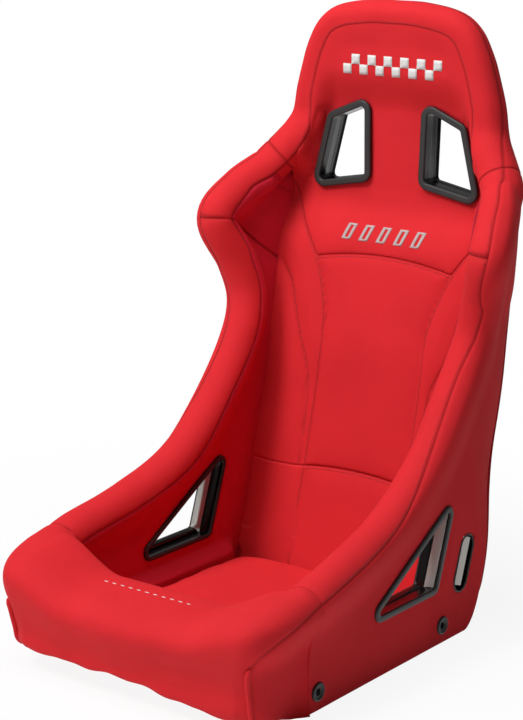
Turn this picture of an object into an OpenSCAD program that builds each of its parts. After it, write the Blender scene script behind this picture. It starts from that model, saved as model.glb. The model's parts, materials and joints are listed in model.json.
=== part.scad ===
// Fixed-back racing seat: a steel edge tube and side frame carry foam pads,
// sewn side and rear panels, belt-slot bezels and a lift-out seat cushion.
// Millimetres, +Z up, the sitter faces -Y, origin under the middle of the box.

/* [Overall] */
// Height of the seat
seat_h = 841; // [800:1:880]
// Depth from the front bolster to the rear belt bezels
seat_depth = 651; // [620:1:680]
// Width between the side pads at the hips
hip_w = 354; // [340:1:370]
// Width over the wing tips
wing_w = 511; // [495:1:530]
// How far the wing tips lie below the top of the seat
wing_drop = 316; // [301:1:331]
// How far the wing tips stand ahead of the rear corners
wing_reach = 128; // [116:1:136]
// Width between the roll centres at the neck
head_w = 278; // [264:1:292]

/* [Edge roll and tube] */
// Diameter of the padded edge roll
roll_d = 58; // [52:1:62]
// Diameter of the steel edge tube
tube_d = 25; // [20:1:28]
// Wall of the steel edge tube
tube_wall = 2; // [1.5:0.5:3]
// Height of the roll's centre at the front bolster
roll_front_z = 141; // [134:1:148]
// Play between the foam roll and its tube
roll_play = 0.7; // [0.5:0.1:1.5]

/* [Side walls] */
// Thickness of the inner side pads
side_pad_t = 11; // [8:1:14]
// Room for the frame between pad and panel
frame_room = 14; // [13:0.5:18]
// Thickness of the outer side panels
panel_t = 5; // [4:0.5:7]
// How far the panels draw in towards the rear corners
rear_taper = 18; // [12:1:22]
// How far the side pads step in beside the cushion
foot_step = 20; // [16:1:24]
// Height where the side pads start to step in
foot_z = 68; // [62:1:72]
// Height of the lower edge of the side panels
hem_z = 3; // [2:0.5:6]

/* [Back] */
// How far the rear panel bulges out between its edges
rear_bulge = 16; // [12:1:22]
// Thickness of the back pads
back_t = 18; // [14:1:20]
// How far the back pads draw back at their sides
back_crown = 9; // [4:1:12]
// Height of the seam over the lumbar pad
lumbar_z = 183; // [170:1:200]
// How far the seam under the upper pad lies below the top of the seat
chest_drop = 357; // [341:1:371]
// Half the width of the middle of the back between its long seams
spine_x = 83; // [70:1:95]

/* [Front bolster] */
// Length of the front bolster
bolster_len = 130; // [115:1:145]
// Height of the bolster's crest in the middle
bolster_h = 121; // [105:1:135]

/* [Cushion] */
// Height of the cushion's top edge
cushion_top = 50; // [44:1:60]
// How far the cushion's top rises in the middle
cushion_crown = 7; // [3:1:12]

/* [Belt slots] */
// Distance of a shoulder slot's lower inner corner from the middle
slot_x = 56; // [50:1:62]
// How far a shoulder slot's lower outer corner lies below the top of the seat
slot_drop = 256; // [241:1:261]
// Corner radius of a shoulder bezel
slot_r = 16; // [14:1:18]
// Width of a shoulder bezel's flange
flange_w = 10; // [8:0.5:11]
// Thickness of a bezel's flange
flange_t = 2.5; // [2:0.5:3]
// Wall of a bezel's sleeve
sleeve_t = 2.5; // [2:0.5:3]
// How far a lap slot's lower rear corner lies ahead of the rear panel
lap_back = 215.4; // [209.4:1:225.4]
// Lower rear corner of a lap slot, height
lap_z = 91; // [89:1:100]
// Corner radius of a lap bezel
lap_r = 12; // [11:0.5:14]
// Width of a lap bezel's flange
lap_flange_w = 6.5; // [5:0.5:9]
// Length of the slit behind a lap slot
slit_len = 112; // [90:1:120]
// Width of the slit behind a lap slot
slit_w = 26; // [20:1:30]

/* [Frame and mounts] */
// Distance between the side mount threads
mount_pitch = 290; // [280:1:300]
// How far the front mount threads lie behind the front bolster
mount_gap = 16.5; // [16:0.5:22.5]
// Height of the side mount threads
mount_z = 28; // [22:1:30]
// Thread size of the side mounts
thread_d = 8; // [6:1:10]
// Diameter of a mount boss
boss_d = 20; // [16:1:22]
// Diameter of a mount washer
washer_d = 25; // [24:1:30]
// Thickness of a mount washer
washer_t = 3; // [2:0.5:4]
// Height of the base rails
rail_h = 42; // [38:1:46]
// Thickness of the base rails
rail_t = 12.5; // [11:0.5:13]
// Wall of the rails and braces
rail_wall = 2; // [1.5:0.5:3]
// Thickness of the braces across the wall
brace_t = 10; // [8:0.5:10.5]
// Width of the braces in the wall's plane
brace_w = 24; // [18:1:26]
// Lean of the braces from upright, in degrees
brace_lean = 18.6; // [16:0.2:20]
// Width of a cross bar
bar_w = 30; // [22:1:36]
// Thickness of a cross bar
bar_t = 5; // [4:0.5:6]
// Diameter of the head cross tube
head_bar_d = 10; // [8:0.5:10]
// Width of a webbing strap
strap_w = 50; // [38:1:60]
// Thickness of a webbing strap
strap_t = 2; // [1.5:0.5:3]

/* [Hidden] */
$fn = 32;
// Gap between flat neighbours and gap between a wall and the roll
gap = 0.3;
roll_gap = 2.8;
// Sides of the roll and of its tube
roll_sides = 12;
tube_sides = 8;

roll_r = roll_d / 2;
tube_r = tube_d / 2;
hip_x = hip_w / 2;
pad_out_x = hip_x + side_pad_t;
frame_x = pad_out_x + gap;
base_x = pad_out_x + frame_room + panel_t;
side_mid = (hip_x + base_x) / 2;
wing_x = wing_w / 2 - roll_r;
head_x = head_w / 2;
head_z = seat_h - roll_r;
wing_z = seat_h - wing_drop;
chest_z = seat_h - chest_drop;
slot_z = seat_h - slot_drop;
front_y = -seat_depth / 2;
bolster_y = front_y + bolster_len;
roll_y = bolster_y + gap;
rear_y = seat_depth / 2 - flange_t - gap - rear_bulge - panel_t - gap;
lap_y = rear_y - lap_back;
cushion_x = min(hip_x - foot_step, side_mid - 6 - roll_r) - 1.2;
floor_z = hem_z + bar_t;
// Where the back turns upright above the chest seam
flat_z = slot_z - 56;
flat_y = rear_y - 13;
front_mount_y = bolster_y + mount_gap;
mount_ys = [front_mount_y, front_mount_y + mount_pitch];

// Stations along the edge tube: front middle, front end of the roll, wing tip,
// seam at the neck and top of the head
S_FRONT = 3;
S_WING = 10;
S_CORNER = 12;
S_NECK = 12.5;
S_TOP = 18;

// Height at a share of the way from the front of the roll to the wing tip
function rising(share) = roll_front_z + share * (wing_z - roll_front_z);

// Right half of the edge tube's centre line, from the front middle to the top
rim_knots = [
    [0, front_y + 42, 80],
    [120, front_y + 44, 84],
    [side_mid - 8, front_y + 78, 112],
    [side_mid + 7, roll_y, roll_front_z],
    [side_mid + 1, roll_y + 122, roll_front_z + 26],
    [side_mid - 5, rear_y - 273, rising(61 / 384)],
    [side_mid - 5, rear_y - 201, rising(117 / 384)],
    [side_mid - 6, rear_y - 133, rising(200 / 384)],
    [side_mid, rear_y - 101, rising(264 / 384)],
    [(side_mid + wing_x) / 2 - 3, rear_y - 106, wing_z - 62],
    [wing_x, rear_y - wing_reach, wing_z],
    [wing_x - 12, rear_y - 90, wing_z + 41],
    [wing_x - 35, rear_y - 43, wing_z + 73],
    [head_x + 12, rear_y - 13, head_z - 157],
    [head_x, rear_y - 11, head_z - 102],
    [head_x - 19, rear_y - 12, head_z - 44],
    [head_x - 43, rear_y - 12, head_z - 12],
    [head_x - 93, rear_y - 12, head_z - 1],
    [0, rear_y - 12, head_z]
];

// Lower and rear edge of the side walls, as [y, z] for stations S_FRONT to S_CORNER
edge_knots = [
    [roll_y, hem_z],
    [roll_y + 122, hem_z],
    [rear_y - 240, hem_z],
    [rear_y - 114, hem_z + 9],
    [rear_y - 60, rising(49 / 384)],
    [rear_y - 28, rising(169 / 384)],
    [rear_y - 16, wing_z - 125],
    [rear_y - 9, wing_z - 65],
    [rear_y - 2, wing_z + 10],
    [rear_y, wing_z + 65]
];

// Front of the back pads in the middle, as [z, y]
back_knots = [
    [floor_z, rear_y - 153],
    [46, rear_y - 144],
    [chest_z * 195 / 484, rear_y - 100],
    [chest_z * 284 / 484, rear_y - 78],
    [chest_z * 360 / 484, rear_y - 65],
    [chest_z - 37, rear_y - 46],
    [chest_z + 5, rear_y - 39],
    [flat_z, flat_y],
    [seat_h, flat_y]
];

// Corner centres of a shoulder bezel as [x, z] and of a lap bezel as [y, z]
slot_corners = [
    [slot_x, slot_z + 12],
    [slot_x + 65, slot_z],
    [slot_x + 45, slot_z + 80],
    [slot_x + 2, slot_z + 98]
];
lap_corners = [
    [lap_y - 126, lap_z],
    [lap_y, lap_z],
    [lap_y + 90 * tan(brace_lean), lap_z + 90]
];

red = [0.80, 0.12, 0.14];
dark_red = [0.62, 0.08, 0.10];
black = [0.08, 0.08, 0.08];
steel = [0.55, 0.55, 0.56];

// Helpers for vectors and smooth steps
function unit(v) = v / norm(v);
function mix(a, b, f) = a + (b - a) * f;
function clamp01(f) = max(0, min(1, f));
function ease(f) = let (c = clamp01(f)) c * c * (3 - 2 * c);
function flip(p) = [-p.x, p.y, p.z];

// Smooth curve through four neighbouring knots
function spline(a, b, c, d, f) =
    0.5 * (2 * b + (c - a) * f + (2 * a - 5 * b + 4 * c - d) * f * f + (3 * b - a - 3 * c + d) * f * f * f);

// Centre line of the edge tube; stations past the top run down the left side
function rim_knot(i) =
    let (j = (i + 2 * S_TOP) % (2 * S_TOP))
    j > S_TOP ? flip(rim_knots[2 * S_TOP - j]) : rim_knots[j];
function rim(s) =
    let (i = floor(s), f = s - i)
    spline(rim_knot(i - 1), rim_knot(i), rim_knot(i + 1), rim_knot(i + 2), f);
roll_seams = [S_WING, S_NECK, 2 * S_TOP - S_NECK];
function seam_near(s) =
    let (near = [for (k = roll_seams) if (abs(s - k) < 0.1) k])
    len(near) > 0 ? near[0] : s;
function along(s) = let (k = seam_near(s)) k == S_FRONT ? [0, 1, 0] : unit(rim(k + 0.05) - rim(k - 0.05));

// Lower and rear edge of the side wall at a station
function edge_knot(i) = edge_knots[max(0, min(len(edge_knots) - 1, i - S_FRONT))];
function edge(s) =
    let (
        i = floor(s),
        p = spline(edge_knot(i - 1), edge_knot(i), edge_knot(i + 1), edge_knot(i + 2), s - i)
    )
    [p.x, max(hem_z, p.y)];
function edge_x(z) = base_x - rear_taper * ease((z - 110) / 170);

// Direction in which the roll is open: into the side wall, and behind the head
function opening(s) =
    s > S_TOP ? flip(opening(2 * S_TOP - s)) :
    s < S_FRONT ? [0, 0, -1] :
    s <= S_CORNER ? let (c = rim(s), e = edge(s)) unit([0, e.x - c.y, e.y - c.z]) :
    let (t = along(s), f = clamp01((s - S_CORNER) / 2)) unit([-t.z * f, mix(1, 0.35, f), t.x * f]);
function across(s) = let (t = along(s), o = opening(s)) unit(o - (o * t) * t);

// Points round the centre line at a station, from angle a0 to a1
function arc_at(s, r, a0, a1, n) =
    let (c = rim(s), u = across(s), v = cross(along(s), u))
    [for (k = [0:n]) let (a = mix(a0, a1, k / n)) c + r * (cos(a) * u + sin(a) * v)];
function ring_at(s, r, n) =
    let (c = rim(s), u = across(s), v = cross(along(s), u))
    [for (k = [0:n - 1]) c + r * (cos(360 * k / n) * u + sin(360 * k / n) * v)];

// Solid between two grids of points; the columns may close on themselves
module skin(a, b, wrap = false) {
    rows = len(a);
    cols = len(a[0]);
    last = wrap ? cols - 1 : cols - 2;
    half = rows * cols;
    points = [for (grid = [a, b]) for (row = grid) for (p = row) p];
    function quad(p, q, r, s) = [[p, q, r], [p, r, s]];
    function id(i, j) = i * cols + j % cols;
    walls = [
        for (i = [0:rows - 2]) for (j = [0:last])
            for (f = quad(id(i, j), id(i + 1, j), id(i + 1, j + 1), id(i, j + 1))) f
    ];
    ends = [
        for (j = [0:last]) for (f = concat(
            quad(id(0, j + 1), half + id(0, j + 1), half + id(0, j), id(0, j)),
            quad(id(rows - 1, j), half + id(rows - 1, j), half + id(rows - 1, j + 1), id(rows - 1, j + 1))
        )) f
    ];
    sides = wrap ? [] : [
        for (i = [0:rows - 2]) for (f = concat(
            quad(id(i, 0), half + id(i, 0), half + id(i + 1, 0), id(i + 1, 0)),
            quad(id(i + 1, cols - 1), half + id(i + 1, cols - 1), half + id(i, cols - 1), id(i, cols - 1))
        )) f
    ];
    backs = [for (f = walls) [half + f[2], half + f[1], half + f[0]]];
    polyhedron(points, concat(walls, backs, ends, sides), convexity = 8);
}

// Solid through closed rings of points
module loft(rings) {
    n = len(rings[0]);
    last = len(rings) - 1;
    points = [for (r = rings) for (p = r) p];
    walls = [
        for (i = [0:last - 1]) for (j = [0:n - 1])
            let (k = (j + 1) % n)
            for (f = [
                [i * n + j, (i + 1) * n + j, (i + 1) * n + k],
                [i * n + j, (i + 1) * n + k, i * n + k]
            ]) f
    ];
    start = [for (j = [0:n - 1]) j];
    end = [for (j = [n - 1:-1:0]) last * n + j];
    polyhedron(points, concat(walls, [start, end]), convexity = 8);
}

// Cuts made on a padded form as one mesh
module as_mesh() {
    resize([0, 0, 0]) children();
}

module left() {
    mirror([1, 0, 0]) children();
}

// Outline with round corners about the given corner centres, in turning order
function rounded(centres, r) =
    let (n = len(centres), steps = 4)
    [for (i = [0:n - 1])
        let (
            p = centres[(i + n - 1) % n],
            c = centres[i],
            q = centres[(i + 1) % n],
            a0 = atan2(c.y - p.y, c.x - p.x) - 90,
            turn = atan2(q.y - c.y, q.x - c.x) - 90 - a0,
            a1 = a0 + (turn < 0 ? turn + 360 : turn)
        )
        for (k = [0:steps]) let (a = mix(a0, a1, k / steps)) c + r * [cos(a), sin(a)]];

// Outline in [x, z] extruded from y0 to y1, and in [y, z] extruded from x0 to x1
module along_y(outline, y0, y1) {
    translate([0, y1, 0]) rotate([90, 0, 0]) linear_extrude(y1 - y0) polygon(outline);
}

module along_x(outline, x0, x1) {
    translate([x0, 0, 0]) rotate([90, 0, 90]) linear_extrude(x1 - x0) polygon(outline);
}

// Stations of the tube and its rolls: both ends and every half station between
function stations_between(s0, s1) =
    concat([s0], [for (k = [floor(2 * s0) + 1:ceil(2 * s1) - 1]) k / 2], [s1]);

// Foam roll round the edge tube between two stations, open towards the wall
slit_r = tube_r + roll_play;
module roll(s0, s1) {
    a0 = asin(slit_r / roll_r);
    stations = stations_between(s0, s1);
    outer = [for (s = stations) arc_at(s, roll_r, a0, 360 - a0, roll_sides)];
    inner = [for (s = stations) arc_at(s, slit_r, 90, 270, roll_sides)];
    color(red) skin(outer, inner);
}

seam_s = 0.008;
module thigh_roll() { roll(S_FRONT, S_WING - seam_s); }
module shoulder_roll() { roll(S_WING + seam_s, S_NECK - seam_s); }
module head_roll() { roll(S_NECK + seam_s, 2 * S_TOP - S_NECK - seam_s); }

// Steel tube inside the rolls, closed on itself at the front
module edge_tube() {
    seam = 0.004;
    stations = stations_between(seam, 2 * S_TOP - seam);
    outer = [for (s = stations) ring_at(s, tube_r, tube_sides)];
    inner = [for (s = stations) ring_at(s, tube_r - tube_wall, tube_sides)];
    color(steel) skin(outer, inner, wrap = true);
}

// Side walls: straight lines from the roll to the lower and rear edge

// Length along such a line, at an offset across the wall, that clears the roll:
// first from a straight roll, then lengthened where the roll bends towards the wall
function roll_room(s, p) =
    min([for (d = [-1.4:0.1:1.4]) norm(p - rim(max(S_FRONT, s + d)))]) - roll_r - roll_gap;
function clear_more(s, offset, len) =
    len - min(0, roll_room(s, rim(s) + [offset, 0, 0] + len * opening(s)));
function clear_len(s, offset) =
    clear_more(s, offset, clear_more(s, offset, clear_straight(s, offset)));
function clear_straight(s, offset) =
    let (
        t = along(s),
        o = opening(s),
        n = [offset, 0, 0],
        n1 = n - (n * t) * t,
        u1 = o - (o * t) * t,
        b = n1 * u1,
        a = u1 * u1,
        c = n1 * n1 - pow(roll_r + roll_gap, 2)
    )
    (sqrt(max(0, b * b - a * c)) - b) / a;

// Offset of a wall face from the roll's centre: flat below, turning out with the wing
function wall_offset(s, flat_x, wing_off) = mix(flat_x - rim(s).x, wing_off, ease((s - 8) / 2));

// Point of the wall at a station: f is 0 at the roll and 1 at the edge
function wall_yz(s, f) = let (c = rim(s), e = edge(s)) mix([c.y, c.z], e, f);
function wall_len(s) = let (c = rim(s), e = edge(s)) norm([e.x - c.y, e.y - c.z]);

crease_f = 0.72;
inner_wing_off = -9;
outer_wing_off = 15;
pad_foot_z = floor_z + 1;

// Inner face and frame-side face of the side pads, set by depth into the pad
function pad_end(s) =
    let (c = rim(s), foot = (c.z - pad_foot_z) / (c.z - edge(s).y))
    s < S_WING ? mix(min(0.97, foot), 0.74, ease((s - 6.2) / 1.8)) : mix(0.74, 0.9, (s - S_WING) / 2);
foot_run = 18;
foot_rear_y = rear_y - 150;
function foot_in(y, z) = foot_step * ease((foot_z - z) / foot_run) * ease((foot_rear_y - y) / 30);
function pad_point(s, k, depth) =
    let (
        off = wall_offset(s, hip_x, inner_wing_off) + depth,
        start = clear_len(s, off) / wall_len(s),
        f = mix(start, pad_end(s), k),
        p = wall_yz(s, f),
        x = mix(rim(s).x + off, hip_x + depth, clamp01(f / crease_f)),
        inset = depth > 0 ? 0 : foot_in(p.x, p.y)
    )
    [x - inset, p.x, p.y];

module side_pad_body(s0, s1, steps, cols) {
    stations = [for (k = [0:steps]) mix(s0, s1, k / steps)];
    inner = [for (s = stations) [for (k = cols) pad_point(s, k, 0)]];
    outer = [for (s = stations) [for (k = cols) pad_point(s, k, side_pad_t)]];
    color(dark_red) skin(outer, inner);
}

module side_pad() {
    color(dark_red) as_mesh() difference() {
        side_pad_body(S_FRONT, S_WING - seam_s, 16, [0, 0.3, 0.5, 0.6, 0.68, 0.76, 0.84, 0.92, 1]);
        lap_cut();
    }
}

module wing_pad() { side_pad_body(S_WING + seam_s, S_CORNER - 0.3, 4, [0, 0.35, 0.7, 1]); }

// Outer side panel with its slots and the holes for the mount bosses
function panel_point(s, k, depth) =
    let (
        off = wall_offset(s, base_x, outer_wing_off) - depth,
        start = clear_len(s, off) / wall_len(s),
        f = mix(start, 1, k),
        p = wall_yz(s, f),
        x = mix(rim(s).x + off, edge_x(edge(s).y) - depth, f * f)
    )
    [x, p.x, p.y];

panel_steps = 20;
panel_stations = [for (k = [0:panel_steps]) mix(S_FRONT, S_CORNER, k / panel_steps)];
module side_panel() {
    cols = 6;
    outer = [for (s = panel_stations) [for (k = [0:cols]) panel_point(s, k / cols, 0)]];
    inner = [for (s = panel_stations) [for (k = [0:cols]) panel_point(s, k / cols, panel_t)]];
    color(red) as_mesh() difference() {
        skin(outer, inner);
        lap_cut();
        slit_cut();
        for (y = mount_ys) translate([base_x, y, mount_z]) rotate([0, 90, 0])
            cylinder(d = boss_d + 2 * gap, h = 4 * panel_t, center = true, $fn = 24);
    }
}

// Lap slot and slit, cut through the whole wall
lap_open_r = lap_r - lap_flange_w;
cut_x0 = hip_x - foot_step - 5;
cut_x1 = base_x + 10;
module lap_cut() {
    along_x(rounded(lap_corners, lap_open_r + sleeve_t + gap), cut_x0, cut_x1);
}

slit_mid = [lap_y + 78, lap_z + 11];
slit_open_r = slit_w / 2 - 4;
function slit_outline(r) =
    let (run = (slit_len - slit_w) / 2, lean = [sin(brace_lean), cos(brace_lean)])
    rounded([slit_mid - run * lean, slit_mid + run * lean], r);
module slit_cut() {
    along_x(slit_outline(slit_open_r + sleeve_t + gap), frame_x, cut_x1);
}

// Rear panel: rows from its lower edge up to the head, as [y, z, half width]
function inward(s) = let (t = along(s)) unit([-t.z, t.x]);
function inside_roll(s, off) = let (c = rim(s), n = inward(s)) [c.x + n.x * off, c.z + n.y * off];
function rear_head_row(s) =
    let (
        behind = rear_y + gap - rim(s).y,
        off = sqrt(max(0, pow(roll_r + roll_gap, 2) - behind * behind)),
        p = inside_roll(s, off)
    )
    [rear_y, p.y, p.x];
rear_start_s = 6.5;
rear_rows = concat(
    [for (s = panel_stations) if (s > rear_start_s) let (e = edge(s)) [e.x, e.y, edge_x(e.y)]],
    [for (s = [12.6:0.7:17]) rear_head_row(s)]
);
rear_y_table = [for (r = rear_rows) [r.y, r.x]];
rear_w_table = [for (r = rear_rows) [r.y, r.z]];
function bulge(u) = rear_bulge * (1 - pow(min(1, abs(u)), 5));
function rear_inside(x, z) = lookup(z, rear_y_table) + gap + bulge(x / lookup(z, rear_w_table));

module rear_panel() {
    cols = [-1, -0.92, -0.8, -0.6, -0.2, 0.2, 0.6, 0.8, 0.92, 1];
    function point(r, u, depth) = [u * r.z, r.x + gap + bulge(u) + depth, r.y];
    function grid(depth) = [for (r = rear_rows) [for (u = cols) point(r, u, depth)]];
    color(red) as_mesh() difference() {
        skin(grid(0), grid(panel_t));
        both_slots(slot_open_r + sleeve_t + gap, rear_y - 60, seat_depth);
    }
}

// Back pads: fronts, backs and the arched seams between them
pad_half = hip_x - 2 * gap;
pad_room = 3;
seam_half = gap / 2;
function back_y(z) = lookup(z, back_knots);
function crown(x, z) = back_crown * ease((abs(x) - 120) / (hip_x - 120)) * ease((flat_z - z) / 90);
function lumbar_seam(x) = lumbar_z - 8 * pow(x / hip_x, 2);
chest_turn = 113;
function chest_seam(x) =
    abs(x) < chest_turn ? chest_z - 12 * pow(x / chest_turn, 2) :
    chest_z - 12 + 1.45 * (abs(x) - chest_turn);
function spine_seam(z) =
    min(chest_turn, spine_x + 80 * pow(clamp01((z - chest_z + 124) / 190), 2));

groove = 3;
groove_w = 6;
function pad_front(x, z, sunk) = [x, back_y(z) + crown(x, z) + sunk, z];
function pad_back(x, z) = [x, min(back_y(z) + back_crown + back_t, rear_inside(x, z) - pad_room), z];

// Half widths of the columns of a back pad, with a groove either side of the spine
function half_cols(spine, edge_w) =
    [
        [0, 0],
        [spine / 2, 0],
        [spine - groove_w, 0],
        [spine, groove],
        [spine + groove_w, 0],
        [mix(spine, edge_w, 0.6), 0],
        [edge_w, 0]
    ];
function all_cols(half) = concat([for (i = [len(half) - 1:-1:1]) [-half[i][0], half[i][1]]], half);

module lumbar_pad() {
    rows = 6;
    low = floor_z + 1;
    function row(v) =
        let (
            zm = mix(low, lumbar_z, v),
            w = pad_half - gap - foot_step * ease((cushion_top - zm) / foot_run)
        )
        [for (c = all_cols(half_cols(spine_x, w)))
            [c[0], mix(low, lumbar_seam(c[0]) - seam_half, v), c[1]]];
    color(red) skin(
        [for (k = [0:rows]) [for (p = row(k / rows)) pad_front(p.x, p.y, p.z)]],
        [for (k = [0:rows]) [for (p = row(k / rows)) pad_back(p.x, p.y)]]
    );
}

module back_pad() {
    rows = 9;
    function row(v) =
        let (zm = mix(lumbar_z, chest_z, v))
        [for (c = all_cols(half_cols(spine_seam(zm), pad_half)))
            [c[0], mix(lumbar_seam(c[0]) + seam_half, chest_seam(c[0]) - seam_half, v), c[1]]];
    color(red) skin(
        [for (k = [0:rows]) [for (p = row(k / rows)) pad_front(p.x, p.y, p.z)]],
        [for (k = [0:rows]) [for (p = row(k / rows)) pad_back(p.x, p.y)]]
    );
}

module upper_pad() {
    rows = 12;
    cols = 10;
    top = head_z - roll_r - roll_gap;
    rise = chest_seam(pad_half) - chest_z;
    function side(v) =
        v == 0 ? [pad_half, chest_seam(pad_half) + seam_half] :
        let (p = inside_roll(mix(11.5, 17.1, v), roll_r + roll_gap)) [min(pad_half, p.x), p.y];
    function row(v) =
        let (e = side(v), zc = mix(chest_z + seam_half, top, v))
        [for (j = [0:cols])
            let (
                u = 2 * j / cols - 1,
                sag = (chest_seam(u * pad_half) - chest_z) / rise
            )
            [u * e.x, zc + (e.y - zc) * mix(sag, u * u, v)]];
    color(red) as_mesh() difference() {
        skin(
            [for (k = [0:rows]) [for (p = row(k / rows)) pad_front(p.x, p.y, 0)]],
            [for (k = [0:rows]) [for (p = row(k / rows)) pad_back(p.x, p.y)]]
        );
        both_slots(slot_open_r + sleeve_t + gap, rear_y - 60, seat_depth);
        head_bar_body(head_bar_d + 2 * gap);
    }
}

// Rod across the head, between the two sides of the edge tube
head_bar_s = 14.35;
module head_bar_body(d) {
    c = rim(head_bar_s);
    reach = c.x - tube_r - 5 * gap;
    translate([-reach, flat_y + 2 + head_bar_d / 2, c.z]) rotate([0, 90, 0]) cylinder(d = d, h = 2 * reach);
}
module head_bar() { color(steel) head_bar_body(head_bar_d); }

// Front bolster: sections across the seat that rise to the rolls at both ends
bolster_low = 4;
bolster_mid = 112;
// Share of the length, and of the height in the middle and at the ends, round a section
bolster_run = [0, 0.12, 0.3, 0.5, 0.72, 0.88, 0.97, 1, 0.95, 0.74, 0.42, 0];
bolster_mid_prof = [0.88, 0.985, 1, 0.95, 0.84, 0.71, 0.59, 0.48, 0.35, 0.18, 0.06, 0];
bolster_end_prof = [0.99, 0.98, 0.925, 0.87, 0.79, 0.69, 0.58, 0.47, 0.33, 0.15, 0.02, 0];
module front_bolster() {
    top_x = side_mid + 12 + roll_r;
    tunnel_s = S_FRONT + 0.1;
    us = [0.2, 0.4, 0.55, 0.68, 0.79, 0.87, 0.93, 0.975, 1];
    full = [1, 1, 1, 1, 0.99, 0.96, 0.89, 0.76, 0.5];
    function section(u, k) =
        let (
            x = abs(u) * top_x,
            e = ease((x - 95) / 90),
            high = mix(bolster_h, roll_front_z + roll_r, e),
            len = (bolster_len - 7 * pow(u, 4)) * k
        )
        [for (i = [0:len(bolster_run) - 1])
            let (
                run = bolster_run[i],
                z0 = bolster_low + (high - bolster_low) * mix(bolster_mid_prof[i], bolster_end_prof[i], e),
                draw = z0 > bolster_mid ? k : mix(1, k, clamp01(2 * run - 0.6)),
                z = bolster_mid + (z0 - bolster_mid) * draw,
                foot_x = base_x - 10 * run
            )
            [u * mix(foot_x, top_x, ease((z - 55) / 50)), bolster_y - len * run, z]];
    color(red) as_mesh() difference() {
        loft(concat(
            [for (i = [8:-1:0]) section(-us[i], full[i])],
            [section(0, 1)],
            [for (i = [0:8]) section(us[i], full[i])]
        ));
        loft([for (s = stations_between(-tunnel_s, tunnel_s)) ring_at(s, tube_r + roll_play, tube_sides)]);
    }
}

// Lift-out cushion: crowned top, drawn-in sides and round corners
module seat_cushion() {
    n = 12;
    low = floor_z + gap;
    y0 = bolster_y + 2 * gap;
    y1 = back_y(low) - 2 * gap;
    mid_z = (low + cushion_top) / 2;
    function side(k) = sin(90 * (2 * k / n - 1));
    function corner(u, v) = 1 - 0.07 * pow(u, 6) * pow(v, 6);
    function plan(u, v) =
        [cushion_x * u * corner(u, v), mix(y0, y1, (v * corner(u, v) + 1) / 2)];
    function full(u, v) = pow((1 - pow(u, 12)) * (1 - pow(v, 12)), 0.5);
    function domed(u, v) = cushion_crown * (1 - u * u) * (1 - v * v);
    function top(u, v) =
        let (p = plan(u, v)) [p.x, p.y, mix(mid_z + 2, cushion_top - 4 * v, full(u, v)) + domed(u, v)];
    function bottom(u, v) = let (p = plan(u, v)) [p.x, p.y, mix(mid_z - 2, low, full(u, v))];
    color(red) skin(
        [for (i = [0:n]) [for (j = [0:n]) top(side(j), side(i))]],
        [for (i = [0:n]) [for (j = [0:n]) bottom(side(j), side(i))]]
    );
}

// Bezels of the belt slots
slot_open_r = slot_r - flange_w;
slot_front_y = flat_y - gap;
slot_mid_y = rear_y + 8;
slot_rear_y = seat_depth / 2;
module both_slots(r, y0, y1) {
    along_y(rounded(slot_corners, r), y0, y1);
    left() along_y(rounded(slot_corners, r), y0, y1);
}
module shoulder_bezel(flange0, sleeve0, sleeve1) {
    color(black) difference() {
        union() {
            along_y(rounded(slot_corners, slot_r), flange0, flange0 + flange_t);
            along_y(rounded(slot_corners, slot_open_r + sleeve_t), sleeve0, sleeve1);
        }
        along_y(rounded(slot_corners, slot_open_r), front_y, seat_depth);
    }
}
module shoulder_bezel_front() {
    shoulder_bezel(slot_front_y - flange_t, slot_front_y - flange_t, slot_mid_y);
}
module shoulder_bezel_rear() {
    shoulder_bezel(slot_rear_y - flange_t, slot_mid_y + gap, slot_rear_y);
}

module lap_bezel(flange0, sleeve0, sleeve1) {
    color(black) difference() {
        union() {
            along_x(rounded(lap_corners, lap_r), flange0, flange0 + flange_t);
            along_x(rounded(lap_corners, lap_open_r + sleeve_t), sleeve0, sleeve1);
        }
        along_x(rounded(lap_corners, lap_open_r), 0, cut_x1);
    }
}
module lap_bezel_inner() {
    lap_bezel(hip_x - gap - flange_t, hip_x - gap - flange_t, pad_out_x - gap);
}
module lap_bezel_outer() {
    lap_bezel(base_x + gap, frame_x + rail_t, base_x + gap + flange_t);
}

module slit_trim() {
    color(black) difference() {
        union() {
            along_x(slit_outline(slit_w / 2), base_x + gap, base_x + gap + flange_t);
            along_x(slit_outline(slit_open_r + sleeve_t), frame_x + rail_t, base_x + gap + flange_t);
        }
        along_x(slit_outline(slit_open_r), 0, cut_x1);
    }
}

// Frame in the side walls: rail, braces, link and front stay
module base_rail() {
    len = rail_y1 - roll_y;
    inside = rail_t - 2 * rail_wall;
    color(steel) difference() {
        translate([frame_x, roll_y, 0]) cube([rail_t, len, rail_h]);
        translate([frame_x + rail_wall, roll_y - 1, rail_wall])
            cube([inside, len + 2, rail_h - 2 * rail_wall]);
        for (y = mount_ys) translate([frame_x - 1, y, mount_z]) rotate([0, 90, 0])
            cylinder(d = boss_d + 2 * gap, h = rail_t + 2);
    }
}

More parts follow.
